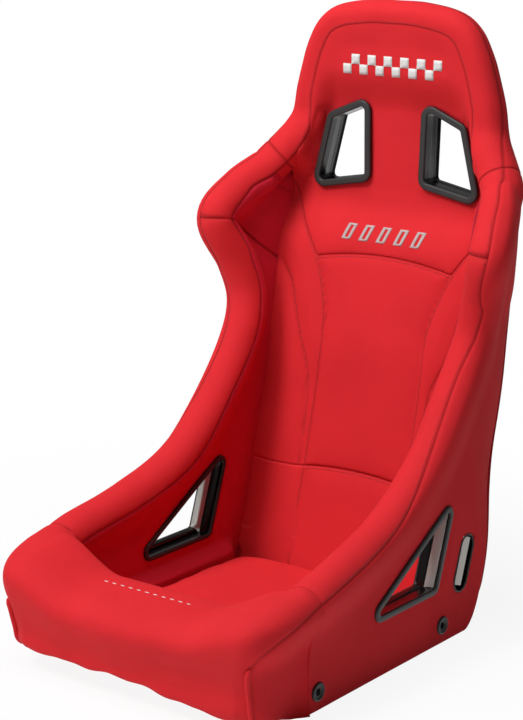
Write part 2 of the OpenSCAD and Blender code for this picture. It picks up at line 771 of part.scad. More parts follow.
// Leaning flat tube; mid_y is its middle at the height of the lap slot's corner
lean_w = brace_w / cos(brace_lean);
function lean_y(mid_y, z) = mid_y + (z - lap_z) * tan(brace_lean);
module leaning(mid_y, z0, z1, half_w, x0, x1) {
    along_x([
        [lean_y(mid_y, z0) - half_w, z0],
        [lean_y(mid_y, z0) + half_w, z0],
        [lean_y(mid_y, z1) + half_w, z1],
        [lean_y(mid_y, z1) - half_w, z1]
    ], x0, x1);
}
module brace(mid_y, z1) {
    color(steel) difference() {
        leaning(mid_y, rail_h, z1, lean_w / 2, frame_x, frame_x + brace_t);
        leaning(
            mid_y, rail_h - 1, z1 + 1, lean_w / 2 - rail_wall,
            frame_x + rail_wall, frame_x + brace_t - rail_wall
        );
    }
}
front_brace_y = lap_y + (lap_open_r + gap) / cos(brace_lean) + lean_w / 2;
rear_brace_y = slit_mid.x + (lap_z - slit_mid.y) * tan(brace_lean);
rear_brace_z = slit_mid.y + slit_len / 2 + 6;
// The rail ends behind the rear brace and the rear mount
rail_y1 = max(lean_y(rear_brace_y, rail_h) + lean_w / 2 + 6.9, mount_ys[1] + 30);
// The front brace ends where its front edge meets the edge tube
function brace_room(s) = (lean_y(front_brace_y, rim(s).z) - lean_w / 2 - rim(s).y) * along(s).z;
meet_s = max([for (s = [5.5:0.02:7.4]) if (brace_room(s) > tube_r + gap) s]);
module brace_front() { brace(front_brace_y, rim(meet_s).z); }
module brace_rear() { brace(rear_brace_y, rear_brace_z); }
module brace_link() {
    z0 = rear_brace_z - 24;
    z1 = rear_brace_z - 4;
    color(steel) along_x([
        [lean_y(front_brace_y, z0) + lean_w / 2, z0],
        [lean_y(rear_brace_y, z0) - lean_w / 2, z0],
        [lean_y(rear_brace_y, z1) - lean_w / 2, z1],
        [lean_y(front_brace_y, z1) + lean_w / 2, z1]
    ], frame_x, frame_x + brace_t);
}
stay_w = 20;
module front_stay() {
    top = rim(S_FRONT + 0.15).z - 1.03 * tube_r - 3 * gap;
    y0 = roll_y + 18;
    color(steel) difference() {
        translate([frame_x, y0, rail_h]) cube([brace_t, stay_w, top - rail_h]);
        translate([frame_x + rail_wall, y0 + rail_wall, rail_h - 1])
            cube([brace_t - 2 * rail_wall, stay_w - 2 * rail_wall, top]);
    }
}

// Cross bars and webbing between the rails
module cross_bar(y) {
    color(steel) translate([-frame_x, y - bar_w / 2, hem_z]) cube([2 * frame_x, bar_w, bar_t]);
}
module front_bar() { cross_bar(mount_ys[0]); }
module rear_bar() { cross_bar(mount_ys[1]); }
module base_straps() {
    for (k = [1:3])
        color(black)
            translate([-frame_x, mix(mount_ys[0], mount_ys[1], k / 4) - strap_w / 2, floor_z - strap_t])
                cube([2 * frame_x, strap_w, strap_t]);
}

// Threaded bosses of the side mounts and the washers round them
module mount_bosses() {
    for (y = mount_ys) color(steel) translate([frame_x, y, mount_z]) rotate([0, 90, 0]) difference() {
        cylinder(d = boss_d, h = base_x - frame_x);
        translate([0, 0, -1]) cylinder(d = thread_d, h = base_x - frame_x + 2);
    }
}
module washer_pair() {
    for (y = mount_ys) translate([base_x + gap, y, mount_z]) rotate([0, 90, 0]) difference() {
        cylinder(d = washer_d, h = washer_t);
        translate([0, 0, -1]) cylinder(d = thread_d + 1, h = washer_t + 2);
    }
}
module mount_washers() {
    color(black) washer_pair();
    color(black) left() washer_pair();
}

seat_cushion();
front_bolster();
left() thigh_roll();  // thigh_roll_l
thigh_roll();  // thigh_roll_r
left() shoulder_roll();  // shoulder_roll_l
shoulder_roll();  // shoulder_roll_r
head_roll();
left() side_pad();  // side_pad_l
side_pad();  // side_pad_r
left() wing_pad();  // wing_pad_l
wing_pad();  // wing_pad_r
lumbar_pad();
back_pad();
upper_pad();
left() side_panel();  // side_panel_l
side_panel();  // side_panel_r
rear_panel();
edge_tube();
left() base_rail();  // base_rail_l
base_rail();  // base_rail_r
left() brace_front();  // brace_front_l
brace_front();  // brace_front_r
left() brace_rear();  // brace_rear_l
brace_rear();  // brace_rear_r
left() brace_link();  // brace_link_l
brace_link();  // brace_link_r
left() front_stay();  // front_stay_l
front_stay();  // front_stay_r
front_bar();
rear_bar();
head_bar();
base_straps();
left() mount_bosses();  // mount_bosses_l
mount_bosses();  // mount_bosses_r
mount_washers();
left() shoulder_bezel_front();  // shoulder_bezel_front_l
shoulder_bezel_front();  // shoulder_bezel_front_r
left() shoulder_bezel_rear();  // shoulder_bezel_rear_l
shoulder_bezel_rear();  // shoulder_bezel_rear_r
left() lap_bezel_inner();  // lap_bezel_inner_l
lap_bezel_inner();  // lap_bezel_inner_r
left() lap_bezel_outer();  // lap_bezel_outer_l
lap_bezel_outer();  // lap_bezel_outer_r
left() slit_trim();  // slit_trim_l
slit_trim();  // slit_trim_r
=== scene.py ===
"""Racing seat: covers, pads, belt-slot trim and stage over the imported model."""
import json
import math

import bmesh
import bpy
import numpy as np
from bpy.props import FloatProperty, FloatVectorProperty, PointerProperty
from mathutils import Matrix, Vector, noise


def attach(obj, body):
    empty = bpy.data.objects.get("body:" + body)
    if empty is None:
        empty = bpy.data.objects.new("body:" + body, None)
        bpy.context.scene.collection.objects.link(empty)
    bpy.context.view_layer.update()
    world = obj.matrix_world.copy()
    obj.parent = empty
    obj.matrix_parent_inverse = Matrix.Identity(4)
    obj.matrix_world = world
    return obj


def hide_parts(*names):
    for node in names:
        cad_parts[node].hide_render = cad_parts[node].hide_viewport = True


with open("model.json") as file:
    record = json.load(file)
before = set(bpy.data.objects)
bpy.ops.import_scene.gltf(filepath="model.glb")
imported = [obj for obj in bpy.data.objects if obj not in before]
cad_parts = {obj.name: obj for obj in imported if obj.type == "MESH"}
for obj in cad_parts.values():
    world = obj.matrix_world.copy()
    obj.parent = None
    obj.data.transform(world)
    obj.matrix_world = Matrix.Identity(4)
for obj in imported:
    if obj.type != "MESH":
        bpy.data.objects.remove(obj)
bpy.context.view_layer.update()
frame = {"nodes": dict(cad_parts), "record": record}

bl_info = {
    "name": "Racing seat",
    "version": (1, 0, 0),
    "blender": (4, 5, 0),
    "location": "View3D > Sidebar > Seat",
    "description": "Builds the covers, pads and trim of a fixed-back racing seat",
    "category": "Object",
}

# Sizes of the seat in millimetres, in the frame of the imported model
ROLL_R = 29.0
HIP_X = 177.0
BASE_X = 207.0
REAR_Y = 301.4
BOLSTER_Y = -195.5
S_FRONT, S_WING, S_NECK, S_TOP = 3.0, 10.0, 12.25, 18.0

# Right half of the edge tube's centre line, one knot for each station
RIM = np.array([
    (0, -283.5, 80), (120, -281.5, 84), (184, -247.5, 112), (199, -195.2, 141), (193, -73.2, 167),
    (187, 28.4, 202), (187, 100.4, 258), (186, 168.4, 341), (192, 200.4, 405), (206.25, 195.4, 463),
    (226.5, 173.4, 525), (214.5, 211.4, 566), (191.5, 258.4, 598), (151, 288.4, 655), (139, 290.4, 710),
    (120, 289.4, 768), (96, 289.4, 800), (46, 289.4, 811), (0, 289.4, 812),
], float)
RIM_LOOP = np.concatenate([RIM, RIM[-2:0:-1] * [-1, 1, 1]])

# Lower and rear edge of the side walls as (y, z), from the front of the roll to the rear corner
EDGE = np.array([
    (-195.2, 3), (-73.2, 3), (61.4, 3), (187.4, 12), (241.4, 190), (273.4, 310), (285.4, 400),
    (292.4, 460), (299.4, 535), (301.4, 590),
], float)

# Front of the back in the middle as (z, y)
BACK = np.array([
    (8, 148.4), (46, 157.4), (110, 177.5), (195, 201.4), (284, 223.4), (360, 236.4), (447, 255.4),
    (489, 263.0), (520, 274.0), (545, 284.0), (570, 288.0), (600, 288.4), (841, 288.4),
], float)

# Angles of the roll's outer and inner seam: 0 faces the wall, 90 the sitter, 180 forward or up
OUTER_SEAM = np.array([
    (3, 249), (4.4, 246), (5, 233), (5.5, 221), (6, 207), (6.5, 199), (7, 198), (7.5, 205), (8, 216),
    (8.5, 225), (9, 226), (9.5, 217), (10, 203), (10.5, 200), (11, 207), (11.5, 217), (12, 224),
    (12.5, 240), (13, 254), (14, 265), (18, 270),
])
INNER_SEAM = np.array([
    (3, 93), (3.5, 93), (4.5, 88), (5.5, 90), (6, 96), (6.5, 101), (7, 97), (7.5, 100), (8, 109),
    (8.5, 111), (9, 109), (9.5, 105), (10, 94), (10.5, 101), (11, 119), (11.5, 133), (12, 132),
    (12.5, 133), (13, 146), (13.5, 156), (14, 162), (15, 166), (18, 174),
])

# Corner centres of the belt slots: shoulder slot as (x, z), lap slot as (y, z), slit ends as (y, z)
SLOT = np.array([(56, 597), (121, 585), (101, 665), (58, 683)], float)
LAP = np.array([(-40, 91), (86, 91), (116.3, 181)], float)
SLIT = np.array([(156.6, 80.0), (171.4, 124.0)], float)
MOUNT_YZ = ((-179.0, 28.0), (111.0, 28.0))

# Radii round those centres: the hole in a cover, and where the cover lies flat round the trim
SLOT_HOLE, LAP_HOLE, SLIT_HOLE, MOUNT_HOLE = 12.5, 9.6, 16.6, 7.0
SLOT_FLAT, LAP_FLAT, SLIT_FLAT, MOUNT_FLAT = 16.0, 12.0, 18.0, 13.0

SIDES = (("r", False), ("l", True))

# Long seams of the back as (x, z): the inner one and its outer partner
SPINE_SEAM = np.array([
    (82, 12), (82, 120), (82, 195), (83, 240), (83, 284), (83, 315), (82, 360), (84, 389), (90, 415),
    (101, 447), (113, 472), (124, 489), (145, 518), (162, 548), (174, 572),
], float)
FLANK_SEAM = np.array([
    (96, 178), (98, 217), (101, 252), (103, 296), (107, 316), (122, 350), (136, 385), (153, 433),
    (166, 450), (178, 462),
], float)

# Cross seams of the back: height in the middle, how far the ends hang, and the half width there
LUMBAR = (183.0, 8.0, 98.0)
CHEST = (484.0, 12.0, 113.0)


# Curves

def ease(f):
    """Smooth step from 0 to 1."""
    c = np.clip(f, 0, 1)
    return c * c * (3 - 2 * c)


def mix(a, b, f):
    """Value between a and b at share f."""
    return a + (b - a) * f


def unit(v):
    """Vectors v at length one."""
    return v / np.maximum(np.linalg.norm(v, axis=-1, keepdims=True), 1e-9)


def four_knots(a, b, c, d, f):
    """Smooth curve from b to c, with a before and d after them."""
    start = 2 * b + (c - a) * f
    return 0.5 * (start + (2 * a - 5 * b + 4 * c - d) * f * f + (3 * b - a - 3 * c + d) * f ** 3)


def rim(s):
    """Centre of the edge tube at stations s."""
    s = np.asarray(s, float)
    i = np.floor(s).astype(int)
    n = len(RIM_LOOP)
    return four_knots(*(RIM_LOOP[(i + k) % n] for k in (-1, 0, 1, 2)), (s - i)[..., None])


def edge(s):
    """Lower or rear edge of the side wall at stations s, as (y, z)."""
    s = np.asarray(s, float)
    i = np.floor(s).astype(int)
    p = four_knots(*(EDGE[np.clip(i + k - 3, 0, len(EDGE) - 1)] for k in (-1, 0, 1, 2)), (s - i)[..., None])
    p[..., 1] = np.maximum(3, p[..., 1])
    return p


def folded(s):
    """Station on the right half for a station past the top of the head."""
    return np.where(np.asarray(s, float) > S_TOP, 2 * S_TOP - np.asarray(s, float), s)


def roll_axes(s):
    """Centre, direction towards the wall and direction to the side of the roll."""
    s = np.asarray(s, float)
    along = unit(rim(s + 0.05) - rim(s - 0.05))
    centre = rim(s)
    right = folded(s)
    foot = edge(np.minimum(right, 12))
    wall = unit(np.stack([0 * s, foot[..., 0] - centre[..., 1], foot[..., 1] - centre[..., 2]], -1))
    k = ease((right - 10.6) / 1.4)[..., None]
    wall = unit(wall * (1 - k) + k * np.array([0, 1.0, 0]))
    u = unit(wall - (wall * along).sum(-1, keepdims=True) * along)
    return centre, u, np.cross(along, u)


def ring(s, degrees, r):
    """Points round the roll: s has one value for each row, degrees and r one for each point."""
    c, u, v = (part[:, None, :] for part in roll_axes(s))
    a = np.radians(degrees)[..., None]
    return c + r[..., None] * (np.cos(a) * u + np.sin(a) * v)


def roll_r(s, degrees):
    """Radius of the roll's skin, flatter in front round the head."""
    head = ease((folded(s) - 12.6) / 1.0)
    front = (degrees + 5) % 360 - 180
    return ROLL_R + 0.5 - 0.9 * ease((folded(s) - 12.5) / 2) - 7 * head * np.exp(-(front / 45) ** 2)


def smooth_table(table, s):
    """Value of a seam table at stations s, with its corners rounded off."""
    s = folded(s)
    return sum(np.interp(s + d, table[:, 0], table[:, 1]) for d in (-0.3, -0.15, 0, 0.15, 0.3)) / 5


def through(points, count, closed=False):
    """Smooth rows of count points through each row of control points."""
    n = points.shape[1]
    t = np.linspace(0, n if closed else n - 1, count, endpoint=not closed)
    i = np.minimum(np.floor(t).astype(int), n - (1 if closed else 2))
    f = (t - i)[None, :, None]
    if closed:
        picks = [points[:, (i + k) % n] for k in (-1, 0, 1, 2)]
    else:
        picks = [points[:, np.clip(i + k, 0, n - 1)] for k in (-1, 0, 1, 2)]
    return four_knots(*picks, f)


def stations(s0, s1, pitch):
    """Stations from s0 to s1 at about one pitch along the roll, with the running length in mm."""
    fine = np.linspace(s0, s1, 600)
    run = np.concatenate([[0], np.cumsum(np.linalg.norm(np.diff(rim(fine), axis=0), axis=1))])
    count = max(4, int(round(run[-1] / pitch)))
    at = np.linspace(0, run[-1], count + 1)
    return np.interp(at, run, fine), at


def line_gap(points, line):
    """Distance of 2-D or 3-D points from a polyline."""
    best = np.full(points.shape[:-1], 1e9)
    for a, b in zip(line[:-1], line[1:]):
        d = b - a
        t = np.clip(((points - a) @ d) / max(d @ d, 1e-9), 0, 1)
        best = np.minimum(best, np.linalg.norm(points - a - t[..., None] * d, axis=-1))
    return best


def outline_gap(points, corners, r):
    """Signed distance of 2-D points from a rounded outline: below zero inside it."""
    loop = np.concatenate([corners, corners[:1]])
    gap = line_gap(points, loop)
    if len(corners) > 2:
        inside = np.ones(points.shape[:-1], bool)
        for a, b in zip(loop[:-1], loop[1:]):
            side = (b[0] - a[0]) * (points[..., 1] - a[1]) - (b[1] - a[1]) * (points[..., 0] - a[0])
            inside &= side >= 0
        gap = np.where(inside, -gap, gap)
    return gap - r


def ripple(points, size, seed):
    """Smooth noise of about -1 to 1 at points in mm, for the unevenness of foam and cloth."""
    shift = Vector((seed * 7.3, seed * 3.1, seed * 5.7))
    flat = points.reshape(-1, 3) / size
    return np.array([noise.noise(Vector(p) + shift) for p in flat]).reshape(points.shape[:-1])


def sewn(gap, depth=2.0, width=2.6):
    """How far a cover is drawn in at a distance from its seam."""
    return depth * np.exp(-(gap / width) ** 2)


# Meshes


def new_piece(name, bm, tint="cover", body="shell"):
    """Make an object of a finished bmesh and let it ride on a body."""
    mesh = bpy.data.meshes.new(name)
    bm.to_mesh(mesh)
    bm.free()
    for poly in mesh.polygons:
        poly.use_smooth = True
    piece = bpy.data.objects.new(name, mesh)
    bpy.context.scene.collection.objects.link(piece)
    mesh.materials.append(finish(tint))
    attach(piece, body)
    return piece


def new_pad(name, bm, node, thick=0, tint="cover", body="shell"):
    """Make the cover of a soft node; an open sheet also gets its thickness, in mm."""
    piece = new_piece(name, bm, tint, body)
    if thick:
        thicken(piece, thick)
    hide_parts(node)


def grid_mesh(points, seam=None, closed=False, mirrored=False):
    """Bmesh of a grid whose vertices are moved to points (rows, columns, 3), in mm.

    The weave follows a UV map in metres along the grid, and seam, one value for each
    point, is kept as a vertex layer that darkens the sewn lines: painted shade in the
    seam grooves. A closed grid repeats its first row or column at the end, and the two are joined.
    """
    rows, cols = points.shape[:2]
    place = points * 0.001
    if mirrored:
        place = place * [-1, 1, 1]
    across = np.linalg.norm(np.diff(points, axis=1), axis=2).mean(0)
    down = np.linalg.norm(np.diff(points, axis=0), axis=2).mean(1)
    u = np.concatenate([[0], np.cumsum(across)]) * 0.001
    v = np.concatenate([[0], np.cumsum(down)]) * 0.001
    bm = bmesh.new()
    bmesh.ops.create_grid(bm, x_segments=cols - 1, y_segments=rows - 1, size=0.5)
    weave = bm.loops.layers.uv.new("weave")
    # Vertex layer of painted shade along the sewn lines
    seam_shade_layer = bm.verts.layers.float.new("seam")
    index = {}
    for vert in bm.verts:
        i = int(round((vert.co.y + 0.5) * (rows - 1)))
        j = int(round((vert.co.x + 0.5) * (cols - 1)))
        index[vert] = (i, j)
    for face in bm.faces:
        for loop in face.loops:
            i, j = index[loop.vert]
            loop[weave].uv = (u[j], v[i])
    for vert, (i, j) in index.items():
        vert.co = place[i, j]
        if seam is not None:
            vert[seam_shade_layer] = float(seam[i, j])
    if mirrored:
        bmesh.ops.reverse_faces(bm, faces=bm.faces)
    if closed:
        bmesh.ops.remove_doubles(bm, verts=bm.verts, dist=1e-5)
    return bm


def face_towards(bm, direction):
    """Turn an open sheet towards a direction, judged by the normals that its bmesh holds.

    grid_mesh renews these for a mirrored sheet alone: any other keeps the flat grid's and isn't turned.
    """
    total = sum((f.normal * f.calc_area() for f in bm.faces), Vector())
    if total.dot(Vector(direction)) < 0:
        bmesh.ops.reverse_faces(bm, faces=bm.faces)


def close_ends(bm):
    """Fill the open ends of a tube and point every face outwards."""
    rim_edges = [e for e in bm.edges if e.is_boundary]
    bmesh.ops.holes_fill(bm, edges=rim_edges, sides=0)
    bmesh.ops.recalc_face_normals(bm, faces=bm.faces)


def cut_slot(bm, axes, corners, r, sign=1):
    """Cut a rounded outline from a sheet: its nearest vertices move onto the line first."""
    at = np.array([(v.co[axes[0]], v.co[axes[1]]) for v in bm.verts]) * 1000
    at[:, 0] *= sign
    gap = outline_gap(at, corners, r)
    step = 0.05
    grad = np.stack([outline_gap(at + d, corners, r) - gap for d in ([step, 0], [0, step])], -1) / step
    bm.verts.ensure_lookup_table()
    for k in np.nonzero(np.abs(gap) < 3.2)[0]:
        p = at[k] - gap[k] * unit(grad[k])
        bm.verts[k].co[axes[0]] = p[0] * sign * 0.001
        bm.verts[k].co[axes[1]] = p[1] * 0.001
        gap[k] = 0
    bm.verts.index_update()
    gone = [f for f in bm.faces if all(gap[v.index] <= 0.01 for v in f.verts)]
    bmesh.ops.delete(bm, geom=gone, context="FACES")


def thicken(piece, mm):
    """Give a sheet its thickness towards its back."""
    wall = piece.modifiers.new("thickness", "SOLIDIFY")
    wall.thickness = mm * 0.001
    wall.offset = -1
    wall.use_even_offset = False


# Finishes

def linear(colour):
    """Linear colour with alpha of an sRGB colour from a property."""
    return tuple(c / 12.92 if c <= 0.04045 else ((c + 0.055) / 1.055) ** 2.4 for c in colour) + (1.0,)


def toned(colour, factor, lift=0.0):
    """A linear colour made darker or paler."""
    return tuple(min(1, c * factor + lift) for c in colour[:3]) + (1.0,)


class Nodes:
    """Shorthand for building a node tree."""

    def __init__(self, tree):
        self.tree = tree

    def plug(self, socket, value):
        if isinstance(value, bpy.types.NodeSocket):
            self.tree.links.new(value, socket)
        else:
            socket.default_value = value

    def add(self, kind, inputs=(), **settings):
        node = self.tree.nodes.new(kind)
        for key, value in settings.items():
            setattr(node, key, value)
        for key, value in dict(inputs).items():
            self.plug(node.inputs[key], value)
        return node

    def math(self, operation, a, b=0.0):
        return self.add("ShaderNodeMath", {0: a, 1: b}, operation=operation).outputs[0]

    def blend(self, a, share_a, b, share_b=None):
        """a * share_a + b, or + b * share_b where that is given."""
        b = b if share_b is None else self.math("MULTIPLY", b, share_b)
        return self.math("ADD", self.math("MULTIPLY", a, share_a), b)

    def wave(self, value, length):
        return self.math("SINE", self.math("MULTIPLY", value, 2 * math.pi / length))

    def mix_colour(self, factor, a, b):
        return self.add("ShaderNodeMix", {0: factor, 6: a, 7: b}, data_type="RGBA").outputs[2]

    def place(self):
        return self.add("ShaderNodeTexCoord").outputs["Object"]

    def noise(self, place, scale, detail):
        inputs = {"Vector": place, "Scale": scale, "Detail": detail}
        return self.add("ShaderNodeTexNoise", inputs).outputs["Fac"]

    def bump(self, height, strength, distance):
        inputs = {"Height": height, "Strength": strength, "Distance": distance}
        return self.add("ShaderNodeBump", inputs).outputs[0]

    def shade(self, **sockets):
        """Set or link inputs of the surface shader, with _ for a space in their names."""
        shader = self.tree.nodes["Principled BSDF"]
        for key, value in sockets.items():
            self.plug(shader.inputs[key.replace("_", " ")], value)


def new_material(name):
    """A new material and its node tree."""
    material = bpy.data.materials.new(name)
    material.use_nodes = True
    return material, Nodes(material.node_tree)


def knit(name, colour, pitch_mm):
    """Fine matt knit: ribs along the UV map, mottling, dust on the pile, and painted shade along the sewn
    lines.
    """
    material, n = new_material(name)
    place = n.place()
    uv = n.add("ShaderNodeUVMap", uv_map="weave").outputs[0]
    split = n.add("ShaderNodeSeparateXYZ", {0: uv}).outputs
    pitch = pitch_mm * 0.001
    stitch = n.math("MULTIPLY", n.wave(split[0], pitch), n.wave(split[1], pitch / 0.8))
    fuzz = n.noise(place, 900.0, 3.0)
    blotch = n.noise(place, 14.0, 4.0)
    base = linear(colour)
    tone = n.blend(stitch, 0.10, n.blend(fuzz, 0.45, blotch, 0.55))
    cloth = n.mix_colour(tone, toned(base, 0.78), toned(base, 1.10, 0.004))
    # The seam layer mixes in a darker copy of the colour: painted shade in the seam grooves.
    seam = n.add("ShaderNodeAttribute", attribute_name="seam").outputs["Fac"]
    n.shade(
        Base_Color=n.mix_colour(seam, cloth, toned(base, 0.5)), Roughness=n.blend(fuzz, 0.14, 0.74),
        Normal=n.bump(n.blend(stitch, 0.5, fuzz, 0.9), 0.28, 0.0006), Specular_IOR_Level=0.2,
        Sheen_Weight=0.06, Sheen_Roughness=0.4, Sheen_Tint=(1.0, 0.45, 0.45, 1.0))
    return material


def moulded(name, colour, rough):
    """Satin moulded plastic with a fine spark-eroded grain and paler handled edges."""
    material, n = new_material(name)
    place = n.place()
    grain = n.noise(place, 1500.0, 2.0)
    cloud = n.noise(place, 30.0, 3.0)
    base = linear(colour)
    n.shade(
        Base_Color=n.mix_colour(n.math("MULTIPLY", cloud, 0.6), base, toned(base, 1.5, 0.006)),
        Roughness=n.blend(cloud, 0.2, rough - 0.1), Normal=n.bump(grain, 0.18, 0.0003),
        Specular_IOR_Level=0.45)
    return material


def metal(name, colour, rough, metallic, stretch):
    """Painted or turned steel: drawn streaks, fine specks and duller patches."""
    material, n = new_material(name)
    place = n.place()
    drawn = n.add("ShaderNodeMapping", {"Vector": place, "Scale": stretch}).outputs[0]
    streak = n.noise(drawn, 160.0, 3.0)
    patch = n.noise(place, 25.0, 4.0)
    base = linear(colour)
    tone = n.math("MULTIPLY", n.math("ADD", streak, patch), 0.5)
    n.shade(
        Base_Color=n.mix_colour(tone, toned(base, 0.72), base), Metallic=metallic,
        Roughness=n.blend(patch, 0.25, rough - 0.12), Normal=n.bump(streak, 0.12, 0.0004))
    return material


def thread(name, colour):
    """Spun sewing thread with a slight lustre."""
    material, n = new_material(name)
    twist = n.noise(n.place(), 2400.0, 2.0)
    base = linear(colour)
    n.shade(
        Base_Color=n.mix_colour(twist, toned(base, 0.7), base), Roughness=0.55,
        Normal=n.bump(twist, 0.25, 0.0003), Sheen_Weight=0.15)
    return material


def webbing(name, colour):
    """Flat woven strap: ribs across it and a darker ground."""
    material, n = new_material(name)
    split = n.add("ShaderNodeSeparateXYZ", {0: n.place()}).outputs
    cross = n.math("MULTIPLY", n.wave(split[0], 0.0022), n.wave(split[1], 0.0016))
    weave = n.blend(cross, 0.5, 0.5)
    base = linear(colour)
    n.shade(
        Base_Color=n.mix_colour(weave, base, toned(base, 1.9, 0.006)), Roughness=0.8,
        Normal=n.bump(weave, 0.5, 0.0006))
    return material


FINISHES = {}


def finish(name):
    """Finish of the seat by its name, made from the panel's colours on first use."""
    if name not in FINISHES:
        look = bpy.context.scene.seat_look
        makers = {
            "cover": lambda: knit("cover_knit", look.cover_colour, look.weave_mm),
            # The cover inside the side walls is a copy of the cover knit in another red: painted shade tint
            # and painted bounce light.
            "side_cover": lambda: knit("shade_tinted_cover_knit", look.shade_tinted_colour, look.weave_mm),
            "trim": lambda: moulded("trim_black", look.trim_colour, 0.52),
            "frame": lambda: metal("frame_grey", look.frame_colour, 0.5, 0.35, (1, 1, 0.06)),
            "boss": lambda: metal("boss_steel", (0.72, 0.72, 0.73), 0.32, 1.0, (0.05, 1, 1)),
            # The sleeve is a near-black, glossier copy of the trim plastic: its darkness is painted shade
            # inside the slots.
            "sleeve": lambda: moulded("sleeve_shade_black", (0.035, 0.035, 0.035), 0.24),
            # The bar is a near-white copy of the frame steel: painted light on the bar seen through the
            # slots.
            "bar": lambda: metal("bar_lit_steel", (0.93, 0.91, 0.88), 0.5, 0.0, (1, 1, 0.05)),
            "washer": lambda: moulded("washer_black", (0.09, 0.09, 0.09), 0.55),
            "webbing": lambda: webbing("webbing_black", (0.10, 0.10, 0.10)),
            "thread": lambda: thread("thread_red", look.thread_colour),
            "white_thread": lambda: thread("thread_white", (0.93, 0.93, 0.92)),
            "grey_thread": lambda: thread("thread_grey", (0.80, 0.74, 0.74)),
        }
        FINISHES[name] = makers[name]()
    return FINISHES[name]


def colour_property(name, description, default):
    """Property for an sRGB colour."""
    return FloatVectorProperty(
        name=name, description=description, subtype="COLOR_GAMMA", size=3, min=0, max=1, default=default)


class SeatLook(bpy.types.PropertyGroup):
    """Colours and fine sizes of the seat."""

    cover_colour: colour_property("Cover", "Colour of the seat's cover", (0.875, 0.145, 0.175))
    # A bluer, slightly darker red than the cover: the painted tint of shade on the walls that face away
    # from the key, lifted by painted bounce light from the cushion.
    shade_tinted_colour: colour_property(
        "Side cover", "Colour of the cover inside the side walls", (0.85, 0.12, 0.215))
    thread_colour: colour_property("Thread", "Colour of the sewing thread", (0.55, 0.09, 0.11))
    trim_colour: colour_property("Trim", "Colour of the belt-slot trim", (0.17, 0.17, 0.17))
    frame_colour: colour_property("Frame", "Colour of the steel frame", (0.60, 0.59, 0.59))
    weave_mm: FloatProperty(
        name="Weave", description="Pitch of the knit in millimetres", default=1.6, min=0.5, max=6)
    seam_mm: FloatProperty(
        name="Seam depth", description="How far the cover is drawn in at a seam, in millimetres",
        default=1.2, min=0, max=6)
    puff_mm: FloatProperty(
        name="Puff", description="How far the foam swells between seams, in millimetres",
        default=5.0, min=0, max=12)
    stitch_mm: FloatProperty(
        name="Stitch", description="Length of one stitch in millimetres", default=4.2, min=2, max=10)


class SeatStage(bpy.types.PropertyGroup):
    """Light and floor of the stage."""

    key_watts: FloatProperty(
        name="Key light", description="Power of the key light", default=82, min=0, unit="POWER")
    fill_watts: FloatProperty(
        name="Fill light", description="Power of the fill light", default=0.6, min=0, unit="POWER")
    top_watts: FloatProperty(
        name="Top light", description="Power of the light over the seat", default=36, min=0, unit="POWER")
    ambient: FloatProperty(
        name="Ambient", description="Strength of the light from all round", default=0.16, min=0, max=2)
    floor_m: FloatProperty(
        name="Floor", description="Half the width of the floor", default=4.0, min=1, unit="LENGTH")


# Rolls

def roll_points(s0, s1, cross_seams, seam_mm):
    """Closed skin of the edge roll between two stations, and each point's painted shade, stronger nearer a
    seam.
    """
    s, run = stations(s0, s1, 4.2)
    inner = smooth_table(INNER_SEAM, s)[:, None]
    outer = smooth_table(OUTER_SEAM, s)[:, None]
    seen = np.linspace(0, 1, 41)[None, :]
    seen = seen - 0.055 * np.sin(2 * np.pi * seen)
    hidden = np.linspace(0, 1, 33)[None, 1:]
    angle = np.concatenate([mix(inner, outer, seen), mix(outer, 360 + inner, hidden)], 1)
    arc = np.radians(1) * ROLL_R
    gap = np.minimum(np.abs(angle - inner), np.abs(angle - outer)) * arc
    gap = np.minimum(gap, np.abs(angle - 360 - inner) * arc)
    under = ease((folded(s) - 11.6) / 0.45)[:, None]
    sunk = np.maximum(1 - under, ease((angle - 380) / 25)) * ease((angle - outer) * arc / 5)
    sunk = sunk * ease((360 + inner - angle) * arc / 5)
    light = mix(1, 0.55, ease((folded(s) - 11.5) / 1.0))[:, None]
    sunk = np.where(angle > outer, sunk, 0)
    r = roll_r(s[:, None], angle) - 4.0 * sunk - sewn(gap, seam_mm, 2.2) * light
    points = ring(s, angle, r)
    soft = ripple(points, 70, 3) * 0.9 + ripple(points, 26, 5) * 0.35
    ends = np.minimum(run, run[-1] - run)
    if cross_seams:
        at = np.interp(cross_seams, s, run)
        ends = np.minimum(ends, np.abs(run[:, None] - at[None, :]).min(1))
    draw = sewn(ends, seam_mm * 0.6, 1.8)[:, None]
    r = r + soft * (ease(gap / 12) * ease(ends / 30)[:, None]) - draw
    points = ring(s, angle, r)
    seam_shade = np.maximum(sewn(gap, 1, 1.3), sewn(np.broadcast_to(ends[:, None], gap.shape), 0.55, 1.1))
    return points, seam_shade


def make_roll(name, node, s0, s1, cross_seams=(), mirrored=False):
    """Closed cover of one stretch of the edge roll."""
    look = bpy.context.scene.seat_look
    points, seam_shade = roll_points(s0, s1, list(cross_seams), look.seam_mm)
    bm = grid_mesh(points, seam_shade, closed=True, mirrored=mirrored)
    close_ends(bm)
    new_pad(name, bm, node)


# Side walls

def wall_line(s, f, inside):
    """Points of the side wall at stations s, with f from 0 at the roll to 1 at the lower or rear edge."""
    c, e = rim(s), edge(s)
    y = mix(c[..., 1], e[..., 0], f)
    z = mix(c[..., 2], e[..., 1], f)
    out = ease((s - 8) / 2)
    if inside:
        start = c[..., 0] + mix(HIP_X - c[..., 0], -9, out)
        x = mix(start, HIP_X, np.clip(f / mix(0.72, 0.84, out), 0, 1))
        x = x - 20 * ease((68 - z) / 18) * ease((151.4 - y) / 30)
    else:
        start = c[..., 0] + mix(BASE_X - c[..., 0], 15, out)
        rear_x = BASE_X - 18 * ease((e[..., 1] - 86) / 170)
        x = mix(start, rear_x, f * f)
    return np.stack([x, y, z], -1)


